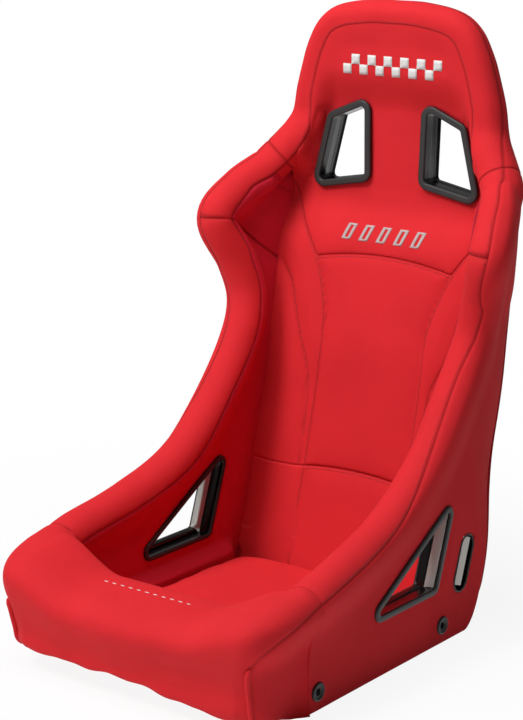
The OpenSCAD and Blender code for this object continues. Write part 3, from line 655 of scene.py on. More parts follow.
def wall_length(s):
    """Length of the side wall from the roll to its edge at stations s."""
    c, e = rim(s), edge(s)
    return np.hypot(e[:, 0] - c[:, 1], e[:, 1] - c[:, 2])


def skirt(s, start, turn, inside, f_end, count, draw, slant=None):
    """Rows from a seam of the roll round its flank and down the side wall, and their running length."""
    sign = -1 if inside else 1
    length = wall_length(s)[:, None]
    f0 = 34 / length
    bend = np.abs(turn - start)[:, None] * np.radians(1) * ROLL_R
    run = np.linspace(0, 1, count)[None, :] * (bend + (f_end[:, None] - f0) * length)
    angle = start[:, None] + sign * np.minimum(np.degrees(run / ROLL_R), np.abs(turn - start)[:, None] + 40)
    f = np.maximum(4 / length, f0 + (run - bend) / length)
    on_roll = ring(s, angle, draw(run))
    at = s[:, None] + 0 * f
    if slant is not None:
        at = at - slant(s)[:, None] * ease((f - 0.1) / 0.7)
    k = ease((run - np.maximum(bend - 26, 4)) / 52)[..., None]
    return mix(on_roll, wall_line(at, f, inside), k), run


def wing_slant(s):
    """How far the seam under the wing falls back along the edge on its way to the back."""
    return 0.27 * np.exp(-((s - S_WING) / 0.9) ** 2)


def pad_end(s):
    """Share of the wall at which a pad's cover stops, behind the back's front or just over the base."""
    f = np.broadcast_to(np.linspace(0.3, 0.97, 160)[None, :], (len(s), 160))
    at = s[:, None] - wing_slant(s)[:, None] * ease((f - 0.1) / 0.7)
    wall = wall_line(at, f, True)
    past = (wall[..., 1] - back_front(wall[..., 2]) > 17) | (wall[..., 2] < 9)
    first = np.where(past.any(1), past.argmax(1), 159)
    end = np.linspace(0.3, 0.97, 160)[first]
    return np.convolve(np.pad(end, 3, mode="edge"), np.ones(7) / 7, "valid")


def pad_points(s, run, seam_mm, puff_mm):
    """Cover of an inner side pad from the roll's inner seam down to the cushion or the back."""
    inner = smooth_table(INNER_SEAM, s)
    sink = 7 * ease((s - 11.55) / 0.7)[:, None]
    points, down = skirt(
        s, inner, np.full(len(s), 46.0), True, pad_end(s), 76,
        lambda d: ROLL_R + 0.4 - sewn(d, seam_mm, 2.2) - sink, wing_slant)
    where = np.linspace(0, 1, 76)[None, :]
    clear = outline_gap(points[..., 1:], LAP, LAP_FLAT)
    ends = np.minimum(run, run[-1] - run)[:, None]
    inward = unit(np.stack([0 * down - 1, 0 * down - 0.35, 0 * down], -1))
    swell = np.sin(np.pi * where ** 0.8) ** 1.2 * ease(clear / 26) * ease(ends / 40) * puff_mm
    soft = ripple(points, 70, 9) * 0.8 * ease(clear / 20) * ease(where / 0.25) * ease(ends / 25)
    line = sewn(ends, seam_mm, 2.4) * ease(where / 0.1)
    points = points + inward * (swell + soft - line - sink * ease(where / 0.2))[..., None]
    seam_shade = np.maximum(sewn(down, 0.9, 1.3), sewn(np.broadcast_to(ends, down.shape), 0.7, 1.2))
    return points, seam_shade


def shoulder_line():
    """Sewn line over the wing pad, from the roll's cross seam to the back's long seam."""
    s = np.array([11.75])
    top = ring(s, smooth_table(INNER_SEAM, s)[:, None], np.full((1, 1), ROLL_R))[0, 0]
    foot = np.array([177.0, float(back_front(np.array(551.0))) + 4, 551.0])
    return np.array([top, mix(top, foot, 0.5) + [5, 0, 0], foot])


def make_side_pad(side, mirrored):
    """Inner side pad and wing pad of one side."""
    look = bpy.context.scene.seat_look
    sign = -1 if mirrored else 1
    for kind, s0, s1, puff in (("side_pad", S_FRONT, S_WING, 0.5), ("wing_pad", S_WING, 12.4, 0.9)):
        s, run = stations(s0, s1, 4.5)
        points, seam_shade = pad_points(s, run, look.seam_mm, look.puff_mm * puff)
        if kind == "wing_pad":
            gap = line_gap(points[..., 1:], shoulder_line()[:, 1:])
            points[..., 0] += sewn(gap, look.seam_mm * 0.7, 2.4)
            seam_shade = np.maximum(seam_shade, sewn(gap, 0.6, 1.2))
        bm = grid_mesh(points, seam_shade, mirrored=mirrored)
        face_towards(bm, (-sign, 0, 0))
        if kind == "side_pad":
            cut_slot(bm, (1, 2), LAP, LAP_HOLE)
        # The pads take the shade-tinted copy of the cover: painted shade and painted bounce light.
        new_pad(f"{kind}_cover_{side}", bm, f"{kind}_{side}", 4, "side_cover")


def panel_points(s, run, seam_mm):
    """Outer side panel from the roll's outer seam to the hem and the rear corner."""
    outer = smooth_table(OUTER_SEAM, s)
    ends = 1.1 * np.exp(-(run / 14) ** 2) + 4.5 * ease((s - 11.7) / 0.5)
    points, down = skirt(
        s, outer, np.full(len(s), 288.0), False, np.ones(len(s)), 88,
        lambda d: ROLL_R + 0.5 - ends[:, None] - sewn(d, seam_mm, 2.2))
    turn = points[:, -1:] + np.array([[[-1.2, 0, 0], [-4, 0, 0], [-8, 0, 0]]])
    low = edge(s)[:, None, 1] < 8
    turn[..., 2] -= np.where(low, np.array([[1.6, 2.2, 2.2]]), 0)
    points = np.concatenate([points, turn], 1)
    where = np.linspace(0, 1, points.shape[1])[None, :]
    flat = points[..., 1:]
    clear = np.minimum(outline_gap(flat, LAP, LAP_FLAT), outline_gap(flat, SLIT, SLIT_FLAT))
    dimple = np.zeros(clear.shape)
    for y, z in MOUNT_YZ:
        far = np.hypot(points[..., 1] - y, points[..., 2] - z)
        clear = np.minimum(clear, far - MOUNT_FLAT)
        dimple = np.maximum(dimple, 1.0 * np.exp(-((far - 15) / 9) ** 2))
    free = ease(clear / 22) * ease((1 - where) / 0.06) * ease(where / 0.25) * ease(run / 45)[:, None]
    points[..., 0] += free * (ripple(points, 85, 11) * 1.5 + 0.6) + dimple * ease(run / 20)[:, None]
    # Painted shade along the seam and on the turned hem rows, where the cover turns under
    seam_shade = np.concatenate([sewn(down, 0.95, 1.3), np.full((len(s), 3), 0.7)], 1)
    return points, seam_shade


def make_side_panel(side, mirrored):
    """Sewn outer panel of one side, with its holes."""
    look = bpy.context.scene.seat_look
    sign = -1 if mirrored else 1
    s, run = stations(S_FRONT - 0.035, 12.2, 4.5)
    points, seam_shade = panel_points(s, run, look.seam_mm)
    bm = grid_mesh(points, seam_shade, mirrored=mirrored)
    face_towards(bm, (sign, 0, 0))
    # The front border is sharp, so that its shading runs on into the bolster
    front = set(bm.verts[:points.shape[1]])
    for border in bm.edges:
        border.smooth = not front.issuperset(border.verts)
    cut_slot(bm, (1, 2), LAP, LAP_HOLE)
    cut_slot(bm, (1, 2), SLIT, SLIT_HOLE)
    for y, z in MOUNT_YZ:
        cut_slot(bm, (1, 2), np.array([(y, z), (y, z + 0.4)]), MOUNT_HOLE)
    new_pad(f"side_panel_cover_{side}", bm, f"side_panel_{side}", 3)


# Back

def back_front(z):
    """Depth of the back's front in the middle at heights z."""
    zs, ys = BACK[:, 0], BACK[:, 1]
    step = np.diff(ys) / np.diff(zs)
    slope = np.concatenate([[step[0]], (step[1:] + step[:-1]) / 2, [step[-1]]])
    slope[-2:] = 0
    i = np.clip(np.searchsorted(zs, z) - 1, 0, len(zs) - 2)
    w = zs[i + 1] - zs[i]
    t = np.clip((z - zs[i]) / w, 0, 1)
    h00, h10 = (1 + 2 * t) * (1 - t) ** 2, t * (1 - t) ** 2
    h01, h11 = t * t * (3 - 2 * t), t * t * (t - 1)
    return h00 * ys[i] + h10 * w * slope[i] + h01 * ys[i + 1] + h11 * w * slope[i + 1]


def hanging(x, middle, drop, half):
    """Height at x of a cross seam of the back."""
    return middle - drop * (x / half) ** 2


LUMBAR_SEAM = np.array([(x, hanging(x, *LUMBAR)) for x in np.linspace(-82, 82, 21)])
CHEST_SEAM = np.array([(x, hanging(x, *CHEST)) for x in np.linspace(-113, 113, 21)])


def seam_gap(x, z):
    """Distance from the nearest sewn line of the back."""
    half = np.stack([np.abs(x), z], -1)
    whole = np.stack([x, z], -1)
    gaps = [line_gap(half, line) for line in (SPINE_SEAM, FLANK_SEAM)]
    return np.minimum.reduce(gaps + [line_gap(whole, line) for line in (LUMBAR_SEAM, CHEST_SEAM)])


def back_points(x, z, look):
    """Front of the back pads at points (x, z), swollen between their sewn lines."""
    gap = seam_gap(x, z)
    crown = mix(1.5, 7, ease((230 - z) / 120)) * ease((np.abs(x) - 130) / 47)
    puff = look.puff_mm * (1 - np.exp(-gap / 16)) * ease((560 - z) / 60)
    y = back_front(z) + crown - puff + look.puff_mm * 0.55
    y = y + sewn(gap, look.seam_mm * 0.65, 1.9)
    points = np.stack([x, y, z], -1)
    points[..., 1] -= ripple(points, 75, 2) * 1.1 * ease(gap / 12)
    return points, sewn(gap, 0.55, 1.1)


def lumbar_line(x):
    """Height of the seam over the lumbar pad."""
    return hanging(np.minimum(np.abs(x), LUMBAR[2]), *LUMBAR)


def chest_line(x):
    """Height of the seam over the back pad: the chest seam, then the long seam beyond it."""
    a = np.abs(x)
    beyond = np.interp(a, SPINE_SEAM[10:, 0], SPINE_SEAM[10:, 1])
    return np.where(a < CHEST[2], hanging(a, *CHEST), beyond)


PAD_X = 184.0


def make_back_pads():
    """Lumbar pad and back pad, each from its lower seam to its upper one."""
    look = bpy.context.scene.seat_look
    u = np.linspace(-1, 1, 97)[None, :]
    for name, low, high, rows in (
        ("lumbar_pad", lambda x: 0 * x + 9.0, lumbar_line, 45),
        ("back_pad", lumbar_line, chest_line, 80),
    ):
        v = np.linspace(0, 1, rows)[:, None]
        x = u * PAD_X + 0 * v
        z = mix(low(x), high(x), v)
        if name == "lumbar_pad":
            x = x * mix(1, 170.0 / PAD_X, ease((62 - z) / 24))
        points, seam_shade = back_points(x, z, look)
        bm = grid_mesh(points, seam_shade)
        face_towards(bm, (0, -1, 0))
        new_pad(f"{name}_cover", bm, name, 6)


def head_border():
    """Right half of the upper pad's border: up the crease beside the wing, then the roll's inner seam."""
    s = np.linspace(12.15, 17.4, 110)
    inner = smooth_table(INNER_SEAM, s)[:, None]
    line = ring(s, inner, roll_r(s[:, None], inner) - 0.9)[:, 0]
    z = float(chest_line(np.array(PAD_X)))
    foot = np.array([PAD_X, float(back_front(np.array(z))), z])
    lead = mix(foot, line[0], np.linspace(0, 1, 11)[:-1, None])
    line = np.concatenate([lead, line])
    tuck = np.exp(-((line[:, 2] - 597) / 15) ** 2)[:, None]
    return line + tuck * [9, 2.5, 0]


def upper_front(x, z, look):
    """Front of the upper pad at points (x, z): flat round the slots, fuller behind the head."""
    border = head_border()[10:]
    points, seam_shade = back_points(x, z, look)
    loop = np.concatenate([border, border[::-1] * [-1, 1, 1]])
    from_roll = line_gap(np.stack([x, z], -1), loop[:, [0, 2]])
    clear = outline_gap(np.stack([np.abs(x), z], -1), SLOT, SLOT_FLAT)
    high = ease((z - 575) / 50)
    points[..., 1] -= 17.5 * ease((z - 684) / 60) + 1.2 * ease(clear / 26) * high
    rise = (0.5 + 0.5 * np.cos(np.pi * np.clip(from_roll / 36, 0, 1))) * high * ease((clear - 2) / 14)
    depth = np.interp(z, border[:, 2], border[:, 1])
    points[..., 1] = mix(points[..., 1], np.minimum(points[..., 1], depth), rise)
    seam_shade = np.maximum(seam_shade, sewn(from_roll, 0.7, 1.2) * high)
    return points, seam_shade


def make_upper_pad():
    """Upper back and head: from the chest seam to the head roll's inner seam."""
    look = bpy.context.scene.seat_look
    border = head_border()
    v = np.linspace(0, 1, len(border))
    u = np.linspace(-1, 1, 97)
    x = u[None, :] * border[:, :1]
    middle = mix(CHEST[0], border[-1, 2], v)[:, None]
    sag = (chest_line(u * PAD_X) - CHEST[0]) / (chest_line(np.array(PAD_X)) - CHEST[0])
    lift = mix(sag[None, :], (u ** 2)[None, :], ease(v * 1.4)[:, None])
    z = middle + (border[:, 2:3] - middle) * lift
    points, seam_shade = upper_front(x, z, look)
    bm = grid_mesh(points, seam_shade)
    face_towards(bm, (0, -1, 0))
    for sign in (1, -1):
        cut_slot(bm, (0, 2), SLOT, SLOT_HOLE, sign)
    new_pad("upper_pad_cover", bm, "upper_pad", 4)


def make_rear_panel():
    """Sewn rear panel between the side panels, bulging between its edges."""
    s = np.linspace(6.06, 12, 120)
    e = edge(s)
    half = BASE_X - 18 * ease((e[:, 1] - 86) / 170)
    t = np.linspace(12.15, 17.5, 96)
    along = unit(rim(t + 0.05) - rim(t - 0.05))
    inward = unit(np.stack([-along[:, 2], along[:, 0]], -1))
    behind = REAR_Y + 0.3 - rim(t)[:, 1]
    off = np.sqrt(np.maximum(0, 19.0 ** 2 - behind ** 2))
    head = rim(t)[:, [0, 2]] + inward * off[:, None]
    rows_y = np.concatenate([e[:, 0], np.full(len(t), REAR_Y)])
    rows_z = np.concatenate([e[:, 1], head[:, 1]])
    rows_x = np.concatenate([half, head[:, 0]])
    z = np.linspace(rows_z[0], rows_z[-1], 150)
    order = np.argsort(rows_z)
    y = np.interp(z, rows_z[order], rows_y[order])[:, None]
    w = np.interp(z, rows_z[order], rows_x[order])
    w = np.convolve(np.pad(w, 4, mode="edge"), np.ones(9) / 9, "valid")[:, None]
    w = w - 5 * (1 - ease((z[:, None] - z[0]) / 45))
    u = np.sin(np.linspace(-1, 1, 95) * np.pi / 2)[None, :]
    x = u * w
    bulge = 16 * (1 - np.abs(u) ** 5) + 5 * (1 - np.abs(u) ** 14)
    depth = bulge * ease((z[:, None] - 20) / 170) * ease((z[-1] - z[:, None]) / 45)
    points = np.stack([x + 0 * y, y + 0.2 + depth, z[:, None] + 0 * u], -1)
    clear = outline_gap(np.stack([np.abs(points[..., 0]), points[..., 2]], -1), SLOT, SLOT_FLAT)
    points[..., 1] += ripple(points, 95, 6) * 1.6 * (1 - np.abs(u) ** 4) * ease(clear / 20)
    rim_gap = (1 - np.abs(u)) * w
    seam_shade = sewn(rim_gap, 0.9, 2.0)
    bm = grid_mesh(points, seam_shade)
    face_towards(bm, (0, 1, 0))
    for sign in (1, -1):
        cut_slot(bm, (0, 2), SLOT, SLOT_HOLE, sign)
    new_pad("rear_panel_cover", bm, "rear_panel", 3)


# Bolster and cushion

# Sections of the bolster as shares of its depth and height: in the middle and near the corner
BOLSTER_RUN = np.array([0, 0.10, 0.3, 0.54, 0.77, 0.91, 0.965, 0.95, 0.905, 0.86, 0.80, 0.35, 0, 0, 0])
BOLSTER_MID = np.array([
    0.80, 0.955, 1, 0.99, 0.945, 0.85, 0.73, 0.59, 0.45, 0.29, 0.10, 0.03, 0.2, 0.42, 0.64])
BOLSTER_END = np.array([
    0.88, 0.97, 0.975, 0.95, 0.90, 0.835, 0.75, 0.62, 0.47, 0.30, 0.09, 0.02, 0.2, 0.42, 0.66])
BOLSTER_TUCK = np.array([0, 0, 0, 0, 0, 0, 0, 0.1, 0.35, 0.7, 1, 1, 0, 0, 0])
BOLSTER_ROLL = np.radians([114, 138, 166, 194, 222, 249, 276, 304])
CORNER_X = 172.0

# Height of the sewn corner line by its turn, in degrees, from the side towards the front
CORNER_LINE = np.array([
    (0, 151.2), (15, 148.5), (33.6, 143), (48, 135), (59.3, 126), (68, 115), (74, 104), (78.5, 92)])

# Cushion before its filling swells it: half width, front, rear, and height of its edge, base and top
CUSHION_X, CUSHION_FRONT, CUSHION_REAR = 158.6, -194.9, 147.9
CUSHION_EDGE, CUSHION_BASE, CUSHION_TOP = 31.0, 8.5, 57.0

# Cloth under the cushion: half width, front, fold at the rear, and how far it turns up there
CLOTH_X, CLOTH_FRONT, CLOTH_FOLD, CLOTH_RISE = 184.0, -193.0, 161.0, 70.0


def bolster_points():
    """Right half of the bolster: rows from the middle to the corner and round it, and each row's turn."""
    straight = np.linspace(0, CORNER_X, 42)
    turn = np.linspace(90, 0, 72)[1:]
    x = np.concatenate([straight, np.full(len(turn), CORNER_X)])[:, None]
    phi = np.concatenate([np.full(len(straight), 90.0), turn])
    a = np.radians(phi)[:, None]
    e = mix(ease((x - 82) / 112), 1, 1 - phi[:, None] / 90)
    high = mix(128, 170, e)
    ahead = (130 - 7 * (x / 233) ** 4) * BOLSTER_RUN
    z = 4 + (high - 4) * mix(BOLSTER_MID, BOLSTER_END, e)
    side = np.concatenate([27 - 28.4 * np.sin(BOLSTER_ROLL), [35.2, 35, 34.9, 34.2, 0, 0, 0]])
    side_z = np.concatenate([141 - 28.4 * np.cos(BOLSTER_ROLL), [90, 48, 9, 0.4, 20, 70, 118]])
    n = 2.5 + 3.5 * BOLSTER_TUCK
    out = (np.cos(a) / np.maximum(side, 0.5)) ** n + (np.sin(a) / np.maximum(ahead, 0.5)) ** n
    out = np.where(ahead + side > 1.5, out ** (-1 / n), 0) * (1 - 0.28 * np.sin(2 * a) * BOLSTER_TUCK)
    z = mix(z, side_z, np.cos(a) ** 1.5)
    lean = -0.315 * (z - 141) * ease((z - 95) / 35) * (1 - ease(phi[:, None] / 40))
    rows = np.stack([x + out * np.cos(a), BOLSTER_Y - out * np.sin(a) + lean, z], -1)
    return through(rows, 128, closed=True), phi


def lifted_hem(points):
    """The hem of the bolster hangs unevenly: it is drawn up towards the left."""
    low = ease((72 - points[..., 2]) / 62)
    points[..., 2] += 13 * ease((165 - points[..., 0]) / 190) * low
    return points


def corner_seam(rows, phi):
    """Sewn line over the corner of the bolster, and the welt that runs down from its end."""
    line = []
    for row, turn in zip(rows[::-1], phi[::-1]):
        if turn > CORNER_LINE[-1, 0]:
            break
        outer = row[24:83]
        height = np.interp(turn, CORNER_LINE[:, 0], CORNER_LINE[:, 1])
        k = np.abs(outer[:, 2] - height).argmin()
        a, b = outer[max(k - 1, 0)], outer[min(k + 1, len(outer) - 1)]
        f = np.clip((height - a[2]) / (b[2] - a[2] + 1e-9), 0, 1)
        line.append(mix(a, b, f))
    drop = []
    for height in np.linspace(line[-1][2], 13, 24):
        turn = np.interp(height, [12, 26, 60, 92], [77, 79.6, 80.6, 79])
        row = rows[np.abs(phi - turn).argmin()][24:93]
        k = np.abs(row[:, 2] - height).argmin()
        drop.append(row[k])
    line, drop = np.array(line), np.array([line[-1]] + drop[1:])
    for _ in range(6):
        line[1:-1] = (line[:-2] + 2 * line[1:-1] + line[2:]) / 4
        drop[1:-1] = (drop[:-2] + 2 * drop[1:-1] + drop[2:]) / 4
    return line, drop


def make_bolster():
    """Front bolster with its sewn corners, folds at the hem and a welt down each corner."""
    look = bpy.context.scene.seat_look
    half, phi = bolster_points()
    seam, welt = corner_seam(half, phi)
    gap = line_gap(half, seam)
    fade = ease(phi / 30)[:, None] * ease((BOLSTER_Y - 10 - half[..., 1]) / 30)
    out = unit((half - np.array([0, -255.0, 70.0])) * [0.4, 1, 1])
    low = ease((50 - half[..., 2]) / 40)
    folds = ripple(half * [1, 1, 0.3], 24, 12) * 1.8 * low
    soft = ripple(half, 80, 4) * 1.4 + ripple(half, 30, 8) * 0.5 + folds
    half = half + out * (soft * fade - sewn(gap, look.seam_mm * 1.3, 2.6))[..., None]
    hem = mix(0.4, 3.2, ease((phi - 30) / 50))[:, None]
    half[..., 2] = np.maximum(half[..., 2] + 1.6 * np.sin(half[..., 0] / 13) * low * fade, hem)
    half[..., 1] = np.minimum(half[..., 1], BOLSTER_Y + 5.5)
    seam_shade = sewn(gap, 1, 1.5)
    points = lifted_hem(np.concatenate([half[:0:-1] * [-1, 1, 1], half], 0))
    x, y, z = (points[..., k] for k in range(3))
    hollow = np.exp(-((np.abs(x) - 92) / 80) ** 2 - ((z - 66) / 25) ** 2)
    points[..., 1] += hollow * np.where(y < -275, mix(4, 8, ease((x + 40) / 80)), 0)
    seam_shade = np.concatenate([seam_shade[:0:-1], seam_shade], 0)
    points = np.concatenate([points, points[:, :1]], 1)
    seam_shade = np.concatenate([seam_shade, seam_shade[:, :1]], 1)
    bm = grid_mesh(points, seam_shade, closed=True)
    close_ends(bm)
    new_pad("front_bolster_cover", bm, "front_bolster")
    for side, mirrored in SIDES:
        make_welt(f"corner_welt_{side}", welt, -1 if mirrored else 1)


def make_welt(name, line, sign):
    """Rolled welt down a corner of the bolster, thinner towards its ends."""
    count = 40
    path = through(line[None], count)[0]
    along = unit(np.gradient(path, axis=0))
    away = unit(path - np.array([120.0, -240.0, 60.0]))
    away = unit(away - (away * along).sum(1, keepdims=True) * along)
    other = np.cross(along, away)[:, None]
    away = away[:, None]
    angle = np.linspace(0, 2 * np.pi, 15)[None, :, None]
    from_end = np.minimum(np.arange(count), np.arange(count)[::-1])
    thick = 3.6 * np.sqrt(np.clip(from_end / 3, 0.05, 1))[:, None, None]
    tube = path[:, None] + away * 0.8 + thick * (np.cos(angle) * away + np.sin(angle) * other)
    bm = grid_mesh(lifted_hem(tube * [sign, 1, 1]), closed=True)
    close_ends(bm)
    new_piece(name, bm)


def fill_out(bm, limit_mm):
    """Let the pressure of a filling swell a closed cover, sewn as even cloth; returns the new bmesh."""
    scene = bpy.context.scene
    mesh = bpy.data.meshes.new("cloth_trial")
    bm.to_mesh(mesh)
    trial = bpy.data.objects.new("cloth_trial", mesh)
    scene.collection.objects.link(trial)
    even = trial.modifiers.new("even", "REMESH")
    even.mode = "VOXEL"
    even.voxel_size = 0.005
    graph = bpy.context.evaluated_depsgraph_get()
    flat = bpy.data.meshes.new_from_object(trial.evaluated_get(graph))
    trial.modifiers.clear()
    trial.data = flat
    start = np.array([v.co[:] for v in flat.vertices])
    cloth = trial.modifiers.new("filling", "CLOTH")
    cloth.settings.use_pressure = True
    cloth.settings.uniform_pressure_force = 4.0
    cloth.settings.effector_weights.gravity = 0.0
    for step in range(1, 21):
        scene.frame_set(step)
    graph = bpy.context.evaluated_depsgraph_get()
    swollen = bpy.data.meshes.new_from_object(trial.evaluated_get(graph))
    move = np.array([v.co[:] for v in swollen.vertices]) - start
    scene.frame_set(1)
    bpy.data.objects.remove(trial)
    far = np.linalg.norm(move, axis=1, keepdims=True)
    place = start + move * np.minimum(1, limit_mm * 0.001 / np.maximum(far, 1e-9))
    bm.clear()
    bm.from_mesh(flat)
    for vert, spot in zip(bm.verts, place):
        vert.co = spot
    for spare in (mesh, flat, swollen):
        bpy.data.meshes.remove(spare)
    return bm


def make_cushion():
    """Loose cushion: crowned top and flat base with drawn-in sides, filled out as cloth."""
    t = np.sin(np.linspace(-1, 1, 71) * np.pi / 2)
    u, v = np.meshgrid(t, t)
    corner = 1 - 0.07 * u ** 6 * v ** 6
    swell = 3.5
    x = (CUSHION_X - swell) * u * corner
    y = mix(CUSHION_FRONT + swell, CUSHION_REAR - swell, (v * corner + 1) / 2)
    full = np.sqrt(np.maximum(0, (1 - u ** 12) * (1 - v ** 12)))
    top = mix(CUSHION_EDGE, CUSHION_TOP - 1.5 * v - swell, full) + 7 * (1 - u * u) * (1 - v * v)
    base = mix(CUSHION_EDGE, CUSHION_BASE + swell, full)
    upper = np.stack([x, y, top], -1)
    upper[..., 2] += ripple(upper, 70, 14) * 1.2 * full
    bm = grid_mesh(upper)
    under = grid_mesh(np.stack([x, y, base], -1))
    scratch = bpy.data.meshes.new("cushion_base")
    under.to_mesh(scratch)
    under.free()
    bm.from_mesh(scratch)
    bpy.data.meshes.remove(scratch)
    bmesh.ops.remove_doubles(bm, verts=bm.verts, dist=2e-5)
    bmesh.ops.recalc_face_normals(bm, faces=bm.faces)
    bm = fill_out(bm, swell)
    weave = bm.loops.layers.uv.get("weave") or bm.loops.layers.uv.new("weave")
    for face in bm.faces:
        for loop in face.loops:
            spot = loop.vert.co
            loop[weave].uv = (spot.x, spot.y + spot.z)
    new_pad("seat_cushion_cover", bm, "seat_cushion", body="cushion")


def make_base_cloth():
    """Cloth over the straps under the cushion, turned up at the rear."""
    x, t = np.meshgrid(
        np.linspace(-CLOTH_X, CLOTH_X, 47), np.linspace(CLOTH_FRONT, CLOTH_FOLD + CLOTH_RISE, 54))
    rise = np.maximum(0, t - CLOTH_FOLD)
    bm = grid_mesh(np.stack([x, np.minimum(t, CLOTH_FOLD) + 0.12 * rise, 8.2 + rise], -1))
    face_towards(bm, (0, -0.3, 1))
    cloth = new_piece("base_cloth", bm)
    thicken(cloth, 0.15)


# Belt-slot trim and mounts

def outline(corners, arc_steps=12, side_steps=6):
    """Corner-centre line and outward direction round a rounded outline."""
    n = len(corners)
    core, out = [], []
    for i in range(n):
        p, c, q = corners[i - 1], corners[i], corners[(i + 1) % n]
        a0 = math.atan2(c[1] - p[1], c[0] - p[0]) - math.pi / 2
        turn = (math.atan2(q[1] - c[1], q[0] - c[0]) - math.pi / 2 - a0) % (2 * math.pi)
        for k in range(arc_steps + 1):
            a = a0 + turn * k / arc_steps
            core.append(c)
            out.append((math.cos(a), math.sin(a)))
        for k in range(1, side_steps):
            core.append(c + (q - c) * k / side_steps)
            out.append(out[-1])
    return np.array(core), np.array(out)


def make_bezel(name, node, corners, section, across_x, mirrored, tail=None, widen=0):
    """Sweep a section of (offset, depth) pairs round a slot's outline; its sleeve is glossier and darker,
    the darkness painted shade.

    tail is a depth that the sleeve reaches everywhere except along the lap slot's rear side,
    and widen opens the sleeve sideways.
    """
    core, out = outline(corners)
    loop = np.array(section + section[:1], float)
    flat = core[:, None, :] + loop[None, :, :1] * out[:, None, :]
    flat[..., 0] += widen * out[:, None, 0] * (loop[None, :, 0] < loop[:, 0].min() + 1)
    depth = np.repeat(loop[None, :, 1], len(core), 0)
    front = depth[0, 4]
    end = loop[0, 1]
    if tail is not None:
        rear = ease((out @ np.array([0.948, -0.319]) - 0.5) / 0.4)[:, None]
        depth = np.where(np.abs(depth - end) < 0.01, mix(tail, end, rear), depth)
    if across_x:
        points = np.stack([depth, flat[..., 0], flat[..., 1]], -1)
    else:
        points = np.stack([flat[..., 0], depth, flat[..., 1]], -1)
    points = np.concatenate([points, points[:1]], 0)
    bm = grid_mesh(points, closed=True, mirrored=mirrored)
    bmesh.ops.recalc_face_normals(bm, faces=bm.faces)
    axis, sign = (0, -1 if mirrored else 1) if across_x else (1, 1)
    turn = 1 if end > front else -1
    for face in bm.faces:
        middle = face.calc_center_median()[axis] * 1000 * sign
        face.material_index = int((middle - front) * turn > 2.4)
    piece = new_piece(name, bm, "trim")
    piece.data.materials.append(finish("sleeve"))
    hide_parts(node)


def bezel_section(r_open, r_flange, front, back, tail, lip=2.0):
    """Rounded flange with its sleeve: depth front faces the viewer, tail ends the sleeve."""
    d = 1 if tail > front else -1
    raised = front - d * lip
    r_sleeve = r_open + 2.5
    return [
        (r_open, tail), (r_open, mix(front, tail, 0.5)), (r_open, front + d * 1.5),
        (r_open + 0.15, front - d * 0.3), (r_open + 0.9, raised + d * 0.35), (r_open + 1.7, raised),
        (mix(r_open, r_flange, 0.7), raised + d * 0.1), (r_flange - 1.4, raised + d * 0.5),
        (r_flange - 0.4, raised + d * 1.4), (r_flange, front + d * 0.8), (r_flange - 0.1, back),
        (r_sleeve, back), (r_sleeve, tail),
    ]


def make_bar(name, tint, a, b, near, far, low, high, sign):
    """Flat bar along a slot: near and far are its offsets across the line a-b, low and high its depth."""
    along = unit(b - a)
    across = np.array([along[1], -along[0]])
    bm = bmesh.new()
    bmesh.ops.create_cube(bm, size=1.0)
    length = np.linalg.norm(b - a)
    for vert in bm.verts:
        p = a + along * (vert.co.z + 0.5) * length + across * mix(near, far, vert.co.y + 0.5)
        vert.co = Vector((sign * mix(low, high, vert.co.x + 0.5), p[0], p[1])) * 0.001
    bmesh.ops.bevel(
        bm, geom=bm.edges[:], offset=min(0.0011, (high - low) * 0.0003), affect="EDGES", segments=3,
        profile=0.5, material=-1)
    bmesh.ops.subdivide_edges(
        bm, edges=[e for e in bm.edges if e.calc_length() > 0.05], cuts=8, use_grid_fill=True)
    bmesh.ops.recalc_face_normals(bm, faces=bm.faces)
    new_piece(name, bm, tint)


def make_bezels(side, mirrored):
    """Trim of the belt slots and the slit of one side, with the bars and linings inside."""
    shoulder = {"r_open": 6, "r_flange": 16}
    make_bezel(
        f"shoulder_bezel_front_trim_{side}", f"shoulder_bezel_front_{side}", SLOT,
        bezel_section(**shoulder, front=285.6, back=288.1, tail=309.4), False, mirrored)
    make_bezel(
        f"shoulder_bezel_rear_trim_{side}", f"shoulder_bezel_rear_{side}", SLOT,
        bezel_section(**shoulder, front=325.5, back=323.0, tail=309.7, lip=0.8), False, mirrored, widen=3.6)
    make_bezel(
        f"lap_bezel_inner_trim_{side}", f"lap_bezel_inner_{side}", LAP,
        bezel_section(7.0, 13.5, front=174.2, back=176.7, tail=179.0, lip=1.6), True, mirrored, tail=194.1)
    make_bezel(
        f"lap_bezel_outer_trim_{side}", f"lap_bezel_outer_{side}", LAP,
        bezel_section(4.4, 13.5, front=209.8, back=207.3, tail=206.0, lip=0.8), True, mirrored, tail=193.9)
    make_bezel(
        f"slit_trim_ring_{side}", f"slit_trim_{side}", SLIT,
        bezel_section(15.4, 18.2, front=208.0, back=206.0, tail=200.0, lip=0.2), True, mirrored)
    sign = -1 if mirrored else 1
    # The lining in the lap slot and the plate behind the slit take the sleeve's black: painted shade on the
    # slot's rear wall and a painted shadow behind the slit.
    for name, tint, line, before, after, near, far, low, high in (
        ("lap_bar", "bar", LAP[1:], 7, 4, 3.9, 8.8, 191.2, 206.2),
        ("lap_lining", "sleeve", LAP[1:], 7, 4, 4.6, 8.8, 179.2, 191.0),
        ("slit_bar", "bar", SLIT, 8, 13, -15.0, 4.4, 199.8, 207.4),
        ("slit_shadow_back", "sleeve", SLIT, 16, 16, -16.6, 16.6, 198.5, 199.7),
    ):
        along = unit(line[1] - line[0])
        ends = line[0] - along * before, line[1] + along * after
        make_bar(f"{name}_{side}", tint, *ends, near, far, low, high, sign)


